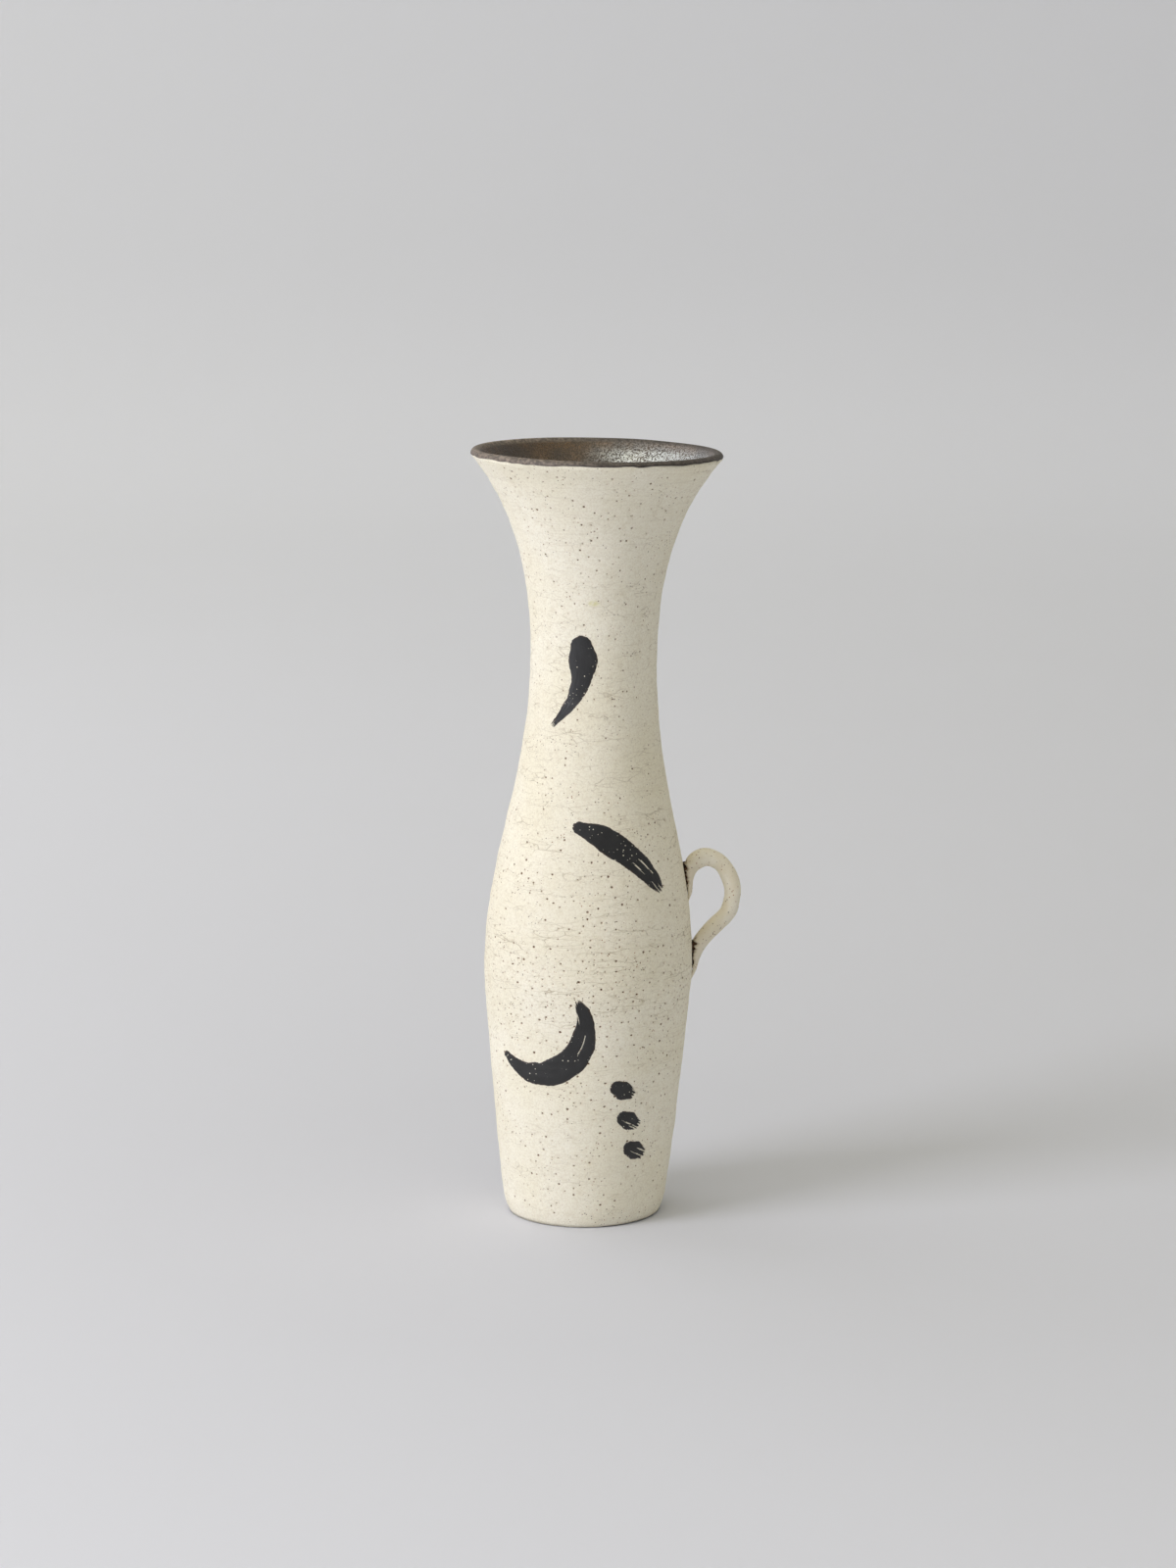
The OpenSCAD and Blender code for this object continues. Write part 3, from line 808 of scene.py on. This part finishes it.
def glaze_lining(material):
    """The glaze as a closed skin, from a ragged edge outside the lip to the floor."""
    rng = np.random.default_rng(32)
    face, columns = glaze_chain, LINING_COLUMNS
    along = lengths_along(face)
    crest = along[np.argmax(face[:, 1])]
    rising = along <= crest
    edge = np.interp(CREST_Z - BAND_H, face[rising, 1], along[rising])
    stops = [edge]
    while stops[-1] < along[-1] - LINING_LAST:
        stops.append(stops[-1] + np.clip(LINING_GROWTH * abs(stops[-1] - crest), *LINING_ROW))
    stops = np.array(stops[:-1] + [along[-1]])
    line = cubic(along, face, stops)
    ways = np.gradient(line, axis=0)
    ways /= np.linalg.norm(ways, axis=1)[:, None]
    square = np.stack([ways[:, 1], -ways[:, 0]], -1)
    azimuths = turns(columns)
    ragged = LAP_RAGGED * (0.8 * noise_line(rng, 2, columns) + 0.7 * noise_line(rng, 11, columns))
    ragged = ragged * join_fade(columns) - BAND_SWING * np.cos(azimuths - BAND_NARROWEST)
    near_edge = soft_step(1.3, 0, stops - edge)[:, None]
    outside = soft_step(crest + 1.2, crest - 0.8, stops)[:, None]
    inside = soft_step(crest + 1, crest + 6, stops)[:, None]
    r, z = line[:, :1], line[:, 1:]
    swell = LINING_SWELL * lining_dents(azimuths, stops[:, None]) * inside
    lift = np.minimum(1, r / 6) * swell + outside * (LINING_PROUD + relief(azimuths, z))
    points = []
    for depth in (0.0, LINING_T):
        skin_r = np.maximum(r + square[:, :1] * (lift - depth), 0) * (r > 1e-6)
        skin_z = z + square[:, 1:] * (lift - depth) - near_edge * ragged
        points.append(round_axis(azimuths, skin_r, skin_z).reshape(-1, 3))
    rows = len(stops)
    front = quads_of(rows, columns, True).reshape(-1, 4)
    back = front[:, ::-1] + rows * columns
    faces = front.tolist() + back.tolist() + closing_band(columns, rows * columns)
    run = (stops - edge) / (stops[-1] - edge)
    down = np.concatenate([0.1 + 0.9 * np.sqrt(run), 0.1 * (1 - run)])
    lip = np.tile(np.repeat(soft_step(crest + 2.4, crest + 0.9, stops), columns), 2)
    rim = np.tile(np.repeat(soft_step(0.55, 0.2, stops - edge), columns), 2)
    piece_from("glaze_skin", np.concatenate(points), faces, "glaze_lining", material,
               weld=True, attributes=[("lip", lip), ("edge", rim)], places=ring_places(columns, down))


def smoothed(points, edges, rounds):
    """Points drawn towards the mean of their neighbours."""
    for _ in range(rounds):
        total = np.zeros_like(points)
        number = np.zeros(len(points))
        for a, b in ((0, 1), (1, 0)):
            np.add.at(total, edges[:, a], points[edges[:, b]])
            np.add.at(number, edges[:, a], 1)
        points = points + (total / number[:, None] - points) / 2
    return points


TAIL_STEP = 0.2
TAIL_SQUARE = 3.5
TAIL_REACH = 6.5
TAIL_BELOW = 2
TAIL_TAPER = 5
TAIL_DRAWN = 2
TAIL_SLOPE = 0.48
TAIL_SUNK = 0.1
CRACK_JAG = 0.75
CRACK_RANGE = (0.25, 1.9)


class Tail:
    """A tail of the handle, with the cracks that opened along its sides."""

    def __init__(self, low, high, top, thin, widens, closes, seed):
        self.low, self.high = low, high
        self.levels = np.arange(low, high + 1.5, TAIL_STEP)
        share = self.share(self.levels)
        wide = mix(thin, top, soft_step(widens, 0.95, share)) * soft_step(closes, closes + 0.2, share)
        rng = np.random.default_rng(seed)
        self.gaps = []
        for _ in range(2):
            jagged = 1 + CRACK_JAG * noise_line(rng, 3, len(share))
            self.gaps.append(wide * np.clip(jagged, *CRACK_RANGE))

    def holds(self, stand, z):
        """Whether places are on the tail, from how far they stand off the wall."""
        return (z > self.low - TAIL_BELOW) & (z < self.high) & (stand < TAIL_REACH)

    def gap(self, across, z):
        near, far = (np.interp(z, self.levels, g) for g in self.gaps)
        return np.where(across < 0, near, far)

    def share(self, z):
        return np.clip((z - self.low) / (self.high - self.low), 0, 1)

    def measure(self, across, stand, z):
        """Finds the half width, its height above the wall and the greatest height at each level."""
        known, found = [], []
        for level in self.levels:
            ring = np.flatnonzero((np.abs(z - level) < 2 * TAIL_STEP) & (stand < TAIL_REACH))
            if len(ring):
                widest = ring[np.argmax(np.abs(across[ring]))]
                known.append(level)
                found.append((abs(across[widest]), stand[widest], stand[ring].max()))
        self.tip = z[self.holds(stand, z)].min()
        self.half, self.rise, self.crown = (np.interp(self.levels, known, column) for column in zip(*found))

    def pressed(self, across, stand, z):
        """The tail's sides below its widest line, pressed square on to the wall but for the crack."""
        half = np.interp(z, self.levels, self.half)
        rise = np.interp(z, self.levels, self.rise)
        gap = self.gap(across, z)
        turn = np.arctan2(rise - stand, np.abs(across))
        tall = np.maximum(rise - gap, 0.1)
        n = TAIL_SQUARE
        reach = ((np.cos(turn) / half) ** n + (np.abs(np.sin(turn)) / tall) ** n) ** (-1 / n)
        share = soft_step(self.high + 1.2, self.high - 0.8, z) * (z > self.low - TAIL_BELOW) * (stand < rise)
        across = mix(across, np.sign(across) * reach * np.cos(turn), share)
        return across, mix(stand, rise - reach * np.sin(turn), share)

    def drawn(self, stand, z):
        """The tail's tip drawn down the wall and thinned out until it lies flush."""
        on_it = self.holds(stand, z)
        above = z - self.tip
        near = soft_step(TAIL_TAPER, 0, above) * on_it
        lower = z - TAIL_DRAWN * near
        limit = TAIL_SLOPE * (lower - self.tip + TAIL_DRAWN)
        thinner = np.clip(limit / np.interp(z, self.levels, self.crown), 0, 1)
        thinner = mix(1, thinner, soft_step(TAIL_TAPER + 3, TAIL_TAPER, above) * on_it)
        return stand * thinner - TAIL_SUNK * near, lower


HANDLE_VOXEL = 0.3
HANDLE_ROUNDS = 14
HANDLE_SWELL = 0.06
HANDLE_WAVES = 24
HANDLE_WAVE = (3.5, 12)
STAIN_REACH = 1.5
ROOT_SHADE_REACH = 8
TAILS = {
    "upper_lute": Tail(low=104.2, high=116.2, top=0.75, thin=0.3, widens=0.6, closes=0.08, seed=42),
    "lower_lute": Tail(low=78.4, high=90.4, top=0.8, thin=0.34, widens=0.45, closes=0.14, seed=43),
}


def loop_handle(material):
    """The CAD loop made round and smooth, with the small swells of a hand-pulled coil."""
    rough = placed("coil_work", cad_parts["loop_handle"].data.copy())
    remesh = rough.modifiers.new("even", "REMESH")
    remesh.mode = "VOXEL"
    remesh.voxel_size = HANDLE_VOXEL * MM
    evaluated = rough.evaluated_get(bpy.context.evaluated_depsgraph_get())
    mesh = bpy.data.meshes.new_from_object(evaluated)
    bpy.data.objects.remove(rough)
    points = read(mesh.vertices, "co", 3) / MM
    points = smoothed(points, read(mesh.edges, "vertices", 2, int), HANDLE_ROUNDS)
    mesh.vertices.foreach_set("co", (points * MM).ravel())
    mesh.update()
    normals = read(mesh.vertex_normals, "vector", 3)
    rng = np.random.default_rng(41)
    swell = np.zeros(len(points))
    for _ in range(HANDLE_WAVES):
        way = rng.normal(size=3)
        way *= FULL_TURN / rng.uniform(*HANDLE_WAVE) / np.linalg.norm(way)
        swell += np.cos(points @ way + rng.uniform(0, FULL_TURN))
    points = points + normals * (HANDLE_SWELL * (1 + swell[:, None] / sqrt(HANDLE_WAVES / 2)))
    c, s = cos(LEAN), sin(LEAN)
    x, across, z = points[:, 0] * c - points[:, 2] * s, points[:, 1], points[:, 0] * s + points[:, 2] * c
    stand = np.hypot(x, across) - skin_radius(z)
    stain = np.zeros(len(points))
    for tail in TAILS.values():
        tail.measure(across, stand, z)
        across, stand = tail.pressed(across, stand, z)
        on_it = (z > tail.low - 1) & (z < tail.high + 2.5)
        close = soft_step(STAIN_REACH, 0, stand - tail.gap(across, z))
        stain = np.maximum(stain, on_it * close * soft_step(0.2, 0.9, tail.share(z)))
        stand, z = tail.drawn(stand, z)
    x = np.sqrt((stand + skin_radius(z)) ** 2 - across**2)
    mesh.vertices.foreach_set("co", leaned(x, across, z).ravel())
    # How much painted shade the coil gets: most where it stands close to the wall.
    root = soft_step(ROOT_SHADE_REACH, 1.5, stand)
    mark_points(mesh, [("stain", stain), ("root", root)])
    dressed("pulled_coil", mesh, "loop_handle", material)


HANDLE_AZIMUTH = radians(90)
LUTE_INSET = 0.84
LUTE_OVER = 0.15
LUTE_ABOVE_TIP = 1.6
LUTE_STEP = 0.22
LUTE_COLUMNS = 25
LUTE_SUNK = 0.05
LUTE_FRAY = 0.1
LUTE_LUMP = 0.05
LUTE_RISE = 2


def squeezed_lute(node, tail, seed, material):
    """The luting slip under a tail, a crumbly bed that shows in its cracks."""
    rng = np.random.default_rng(seed)
    z = np.arange(tail.tip + LUTE_ABOVE_TIP, tail.high, LUTE_STEP)[:, None]
    t = np.linspace(-1, 1, LUTE_COLUMNS)
    half = LUTE_INSET * np.interp(z, tail.levels, tail.half)
    frays = np.stack([LUTE_FRAY * noise_line(rng, 3, len(z)) for _ in range(2)], -1)
    wide = half + np.where(t < 0, frays[:, :1], frays[:, 1:]) * np.abs(t)
    lumps = np.stack([noise_line(rng, 2.5, len(z)) for _ in t], -1)
    out = tail.gap(t, z) + LUTE_OVER + LUTE_LUMP * lumps
    out = out * soft_step(0, LUTE_RISE, z - z[0])
    azimuth = HANDLE_AZIMUTH + np.arcsin(t * wide / skin_radius(z))
    top = on_wall(azimuth, z, out)
    under = on_wall(azimuth, z, -LUTE_SUNK)
    wet = np.ones((len(z) - 1, LUTE_COLUMNS - 1), bool)
    points, faces = closed_film(top, under, wet, False)
    piece_from(node + "_bed", points, faces, node, material)


def closed_film(top, under, wet, flipped):
    """A film's points and faces: top, underside and a wall round its wet cells."""
    rows, columns = top.shape[:2]
    cells = quads_of(rows, columns, False)[wet]
    if flipped:
        cells = cells[:, ::-1]
    below = rows * columns
    sides = np.concatenate([cells[:, [k, (k + 1) % 4]] for k in range(4)])
    known = {(a, b) for a, b in sides.tolist()}
    walls = [[b, a, a + below, b + below] for a, b in sides.tolist() if (b, a) not in known]
    faces = cells.tolist() + (cells[:, ::-1] + below).tolist() + walls
    used = sorted({corner for face in faces for corner in face})
    renumbered = {old: new for new, old in enumerate(used)}
    points = np.concatenate([top.reshape(-1, 3), under.reshape(-1, 3)])[used]
    return points, [[renumbered[c] for c in face] for face in faces]


MARK_T = 0.15
MARK_SUNK = 0.05
MARK_COLUMNS = 43
MARK_STEP = 0.36
MARK_END_ROWS = 16
MARK_SAMPLES = 320
EDGE_WANDER = 0.13
EDGE_FRAY = 0.06
EDGE_STEP = 0.25
EDGE_PAST = 6
DRY_END = 1.5
DRY_START = 0.35
STREAKS = 6


def brush_film(knots, azimuth, rng, dry):
    """A stroke through knots of across, up and width, with a dry end."""
    line = cubic(np.arange(len(knots)), knots, np.linspace(0, len(knots) - 1, MARK_SAMPLES))
    along = lengths_along(line[:, :2])
    length = along[-1]
    way = np.gradient(line[:, :2], along, axis=0)
    heading = np.unwrap(np.arctan2(way[:, 1], way[:, 0]))
    t = np.sin(np.linspace(-pi / 2, pi / 2, MARK_COLUMNS))
    bulge = np.sqrt(1 - t**2)
    start = -line[0, 2] / 2 * bulge + DRY_START * dry * np.abs(noise_line(rng, 2.5, MARK_COLUMNS))
    end = length + line[-1, 2] / 2 * bulge - DRY_END * dry * np.abs(noise_line(rng, 2, MARK_COLUMNS))
    even = np.linspace(0, 1, int(length / MARK_STEP) + MARK_END_ROWS)
    run = 0.55 * even + 0.225 * (1 - np.cos(pi * even))
    s = start + (end - start) * (run / run[-1])[:, None]
    half = np.interp(s, along, line[:, 2] / 2)
    marks = np.arange(-EDGE_PAST, length + EDGE_PAST, EDGE_STEP)
    edges = []
    for _ in range(2):
        rough = EDGE_WANDER * noise_line(rng, 12, len(marks)) + EDGE_FRAY * noise_line(rng, 2.2, len(marks))
        edges.append(np.interp(s, marks, rough))
    half = half + np.where(t < 0, edges[0], edges[1]) * np.abs(t) ** 3
    turn = np.interp(s, along, heading)
    middle = cubic(along, line[:, :2], s)
    u = middle[..., 0] - np.sin(turn) * half * t
    v = middle[..., 1] + np.cos(turn) * half * t
    wall_azimuth = radians(azimuth) + np.arcsin(u / skin_radius(v))
    drying = soft_step(0.4, 1.0, s / length)
    tracks = 0.03 * noise_line(rng, 1.6, MARK_COLUMNS)
    body = MARK_T * (1 - 0.75 * np.abs(t) ** 10) * (1 - 0.35 * drying)
    top = on_wall(wall_azimuth, v, body + tracks * (0.4 + 0.6 * drying))
    under = on_wall(wall_azimuth, v, -MARK_SUNK)
    wet = streaked(rng, s, half * t, length, dry)
    near = np.minimum(np.minimum(s - start, end - s), (1 - np.abs(t)) * half)
    return top, under, wet, soft_step(0.5, 0.05, near)


def streaked(rng, s, offset, length, dry):
    """The wet cells of a stroke: thin dry streaks open up towards its end."""
    def middles(a):
        return (a[1:, 1:] + a[:-1, 1:] + a[1:, :-1] + a[:-1, :-1]) / 4
    s, offset = middles(s), middles(offset)
    wet = np.ones(s.shape, bool)
    for _ in range(rng.integers(0, 1 + int(STREAKS * dry))):
        at = length * rng.uniform(0.55, 1.0)
        aside = rng.uniform(-0.8, 0.8) * offset.max()
        long, thin = rng.uniform(1.5, 5.0), rng.uniform(0.12, 0.24)
        wet &= ((s - at) / long) ** 2 + ((offset - aside) / thin) ** 2 > 1
    return wet


def brush_mark(node, azimuth, strokes, seed, material, dry=1.0):
    """A mark of one or more strokes as one piece."""
    rng = np.random.default_rng(seed)
    points, faces, rims, used = [], [], [], 0
    for knots in strokes:
        top, under, wet, rim = brush_film(knots, azimuth, rng, dry)
        rim = np.repeat(rim[..., None], 3, 2)
        new_points, new_faces = closed_film(top, under, wet, True)
        new_rim, _ = closed_film(rim, rim, wet, True)
        points.append(new_points)
        rims.append(new_rim[:, 0])
        faces += [[c + used for c in face] for face in new_faces]
        used += len(new_points)
    name = node.removesuffix("s").replace("mark", "brush")
    piece_from(name, np.concatenate(points), faces, node, material,
               attributes=[("rim", np.concatenate(rims))])


def ring_knots(z, d, width, start, sweep, top_share, count=14):
    """Knots of an open ring whose top is thinner than its foot."""
    turn = np.radians(start + sweep * np.linspace(0, 1, count))
    wide = width * mix(1, top_share, (1 + np.sin(turn)) / 2)
    return np.stack([d / 2 * np.cos(turn), z + d / 2 * np.sin(turn), wide], -1)


def crescent_knots(z, d, width, half, tilt, tip_share, count=10):
    """Knots of an arc that is wide in its middle and thin at its tips."""
    turn = np.radians(np.linspace(-half, half, count))
    tilt = radians(tilt)
    wide = width * mix(tip_share, 1, np.cos(turn))
    across = d / 2 * np.cos(tilt + turn) - d / 4 * cos(tilt)
    up = z + d / 2 * np.sin(tilt + turn) - d / 4 * sin(tilt)
    return np.stack([across, up, wide], -1)


def wave_knots(z, length, swing, width, swings, tip_share, count=16):
    """Knots of a level wave that is thinner at its ends."""
    t = np.linspace(0, 1, count)
    wide = width * mix(tip_share, 1, np.sin(pi * t))
    return np.stack([length * (t - 0.5), z + swing * np.sin(FULL_TURN * swings * t), wide], -1)


def dash_knots(z, length, width, shape, turn=0.0):
    """Knots of a dash from a shape in shares of its length and width, turned about its middle."""
    shape = np.array(shape)
    c, s = cos(radians(turn)), sin(radians(turn))
    across, up = length * shape[:, 0], length * shape[:, 1]
    return np.stack([across * c - up * s, z + across * s + up * c, width * shape[:, 2]], -1)


SLASH_SHAPE = [[-0.5, 0, 0.55], [-0.25, 0.05, 1], [0.1, 0.06, 0.9], [0.36, 0.03, 0.7], [0.5, 0, 0.35]]
COMMA_SHAPE = [[0.1, 0.38, 0.8], [0.12, 0.22, 1], [0.1, 0.02, 0.72], [0, -0.24, 0.44], [-0.2, -0.48, 0.14]]
BAR_SHAPE = [[-0.5, 0.02, 0.7], [-0.2, 0.04, 1], [0.2, 0.03, 0.9], [0.5, -0.03, 0.5]]
DAB_SHAPE = [[-0.35, 0.17, 0.8], [0, 0, 1], [0.35, -0.17, 0.7]]
DAB_W = 6.2
DAB_Z = 26
DAB_PITCH = 10.5
DAB_SHIFT = -3
BAR_Z = 138
BAR_OFF = 6.5


def brush_marks(material):
    """The design: plain strokes scattered over the body, as the CAD has them."""
    ring = ring_knots(z=60, d=27, width=7, start=70, sweep=330, top_share=0.55)
    slash = dash_knots(z=122, length=33, width=8, shape=SLASH_SHAPE, turn=-38)
    comma = dash_knots(z=178, length=30, width=9, shape=COMMA_SHAPE)
    wave = wave_knots(z=60, length=40, swing=3.2, width=5, swings=2, tip_share=0.6)
    crescent = crescent_knots(z=62, d=34, width=9, half=80, tilt=-52, tip_share=0.12)
    dabs = [dash_knots(DAB_Z + DAB_PITCH * k, DAB_W, DAB_W, DAB_SHAPE) for k in range(3)]
    for k, dab in enumerate(dabs):
        dab[:, 0] += DAB_SHIFT * k
    bars = [dash_knots(BAR_Z + side * BAR_OFF, length=24, width=6.6, shape=BAR_SHAPE) for side in (-1, 1)]
    bars[0][:, 0] *= -1
    brush_mark("ring_mark", 224, [ring], 51, material)
    brush_mark("slash_mark", 22, [slash], 52, material)
    brush_mark("comma_mark", -20, [comma], 53, material, dry=0.7)
    brush_mark("wave_mark", 146, [wave], 54, material)
    brush_mark("crescent_mark", -22, [crescent], 55, material, dry=0.6)
    brush_mark("dab_marks", 34, dabs, 56, material, dry=0.6)
    brush_mark("bar_marks", 202, bars, 57, material)


# Stage, camera and light


STAGE_FLOOR_R = 2.0
STAGE_BEND_R = 0.9
STAGE_TOP = 2.4
STAGE_SIDES = 96
STAGE_RINGS = (0.0, 0.5, 1.2)
STAGE_BEND_STEPS = 24
STAGE_GREY = (0.703, 0.713, 0.769)
STAGE_DULL = 0.985
FILL = 0.245
FILL_HIGH = 0.82
FILL_LEVEL = 0.2
FILL_FROM = 0.15
FILL_TO = 2.0
FILL_RISE = 0.85
FILL_LEFT = 0.085


def stage():
    """A plain pale floor that bends up into a wall all round.
    Away from the vase, the camera sees it evened out."""
    line = [(r, 0.0) for r in STAGE_RINGS]
    for t in np.linspace(0, pi / 2, STAGE_BEND_STEPS):
        line.append((STAGE_FLOOR_R + STAGE_BEND_R * sin(t), STAGE_BEND_R * (1 - cos(t))))
    line.append((STAGE_FLOOR_R + STAGE_BEND_R, STAGE_TOP))
    points = [(r * sin(t), -r * cos(t), z) for r, z in line for t in turns(STAGE_SIDES)]
    mesh = bpy.data.meshes.new("studio_floor")
    mesh.from_pydata(points, [], quads_of(len(line), STAGE_SIDES, True)[..., ::-1].reshape(-1, 4).tolist())
    mesh.shade_smooth()
    look = Look("studio_paper", 0.95, 0.0)
    dull = tuple(STAGE_DULL * c for c in STAGE_GREY)
    look.base = look.mix(look.noise(180, 2), STAGE_GREY + (1,), dull + (1,))
    away = look.length(look.place)
    inputs = {"Value": away, "From Min": FILL_FROM / MM, "From Max": FILL_TO / MM}
    share = look.add("MapRange", inputs).outputs["Result"]
    fill = look.times(look.math("POWER", share, FILL_RISE), FILL)
    fill = look.times(fill, look.step(look.height, 0, FILL_LEVEL / MM, 1, FILL_HIGH))
    fill = look.plus(fill, look.times(look.across, -FILL_LEFT * MM))
    seen = look.add("LightPath", {}).outputs["Is Camera Ray"]
    glow = look.times(look.math("MAXIMUM", fill), seen)
    mesh.materials.append(look.finish(**{"Emission Color": (1, 1, 1, 1), "Emission Strength": glow}))
    floor = placed("studio_floor", mesh)


LAMP_TARGET = Vector((0, 0, 0.13))


def area_light(name, azimuth, elevation, distance, size, power, tint):
    """A soft lamp that faces the vase, out of the camera's sight."""
    a, e = radians(azimuth), radians(elevation)
    way = Vector((sin(a) * cos(e), -cos(a) * cos(e), sin(e)))
    lamp = bpy.data.lights.new(name, "AREA")
    lamp.shape = "RECTANGLE"
    lamp.size, lamp.size_y = size
    lamp.energy = power
    lamp.color = tint
    holder = placed(name, lamp)
    holder.location = LAMP_TARGET + way * distance
    holder.rotation_euler = (-way).to_track_quat("-Z", "Y").to_euler()
    holder.visible_camera = False


CAMERA_AT = (1.42, -1336, 382)
CAMERA_DOWN = radians(10.2)
FOCAL_PX = 4281
IMAGE_H_PX = 1600
SENSOR = 36
CLIP = (0.05, 50)


def camera():
    lens = bpy.data.cameras.new("camera")
    lens.sensor_fit = "VERTICAL"
    lens.sensor_width = lens.sensor_height = SENSOR
    lens.lens = FOCAL_PX / IMAGE_H_PX * SENSOR
    lens.clip_start, lens.clip_end = CLIP
    holder = placed("camera", lens)
    holder.location = Vector(CAMERA_AT) * MM
    holder.rotation_euler = (pi / 2 - CAMERA_DOWN, 0, 0)
    bpy.context.scene.camera = holder


WORLD_LIGHT = 0.455
AMBIENT_TINT = (1.04, 1.0, 0.8)
KEY_TINT = (1.0, 1.0, 1.09)
# Name, azimuth, elevation, distance, size, power and tint
LAMPS = [
    ("key", -59, 24, 1.9, (0.85, 1.6), 19.5, KEY_TINT),
    ("front", -37, 20, 1.9, (2.0, 1.8), 4.2, KEY_TINT),
    ("side", -132, 40, 1.4, (1.1, 1.4), 2.4, KEY_TINT),
    ("overhead", -20, 78, 1.7, (1.4, 1.4), 4.8, AMBIENT_TINT),
    ("rim", 105, 15, 1.4, (0.9, 1.2), 0.35, AMBIENT_TINT),
]


def light():
    """Lamps, mostly from the left, in an even surrounding light."""
    world = bpy.data.worlds.new("studio")
    world.use_nodes = True
    backdrop = world.node_tree.nodes["Background"]
    backdrop.inputs["Color"].default_value = AMBIENT_TINT + (1,)
    backdrop.inputs["Strength"].default_value = WORLD_LIGHT
    bpy.context.scene.world = world
    for lamp in LAMPS:
        area_light(*lamp)
    bpy.context.scene.view_settings.view_transform = "Standard"


stage()
camera()
light()
slip_coat(cream_slip())
glaze_lining(bronze_glaze())
loop_handle(coil_slip())
bare_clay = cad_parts["clay_body"].data
bare_clay.materials.clear()
bare_clay.materials.append(dark_clay())
lute = luting_slip()
for lute_seed, (lute_node, tail) in enumerate(TAILS.items(), 61):
    squeezed_lute(lute_node, tail, lute_seed, lute)
brush_marks(black_slip())
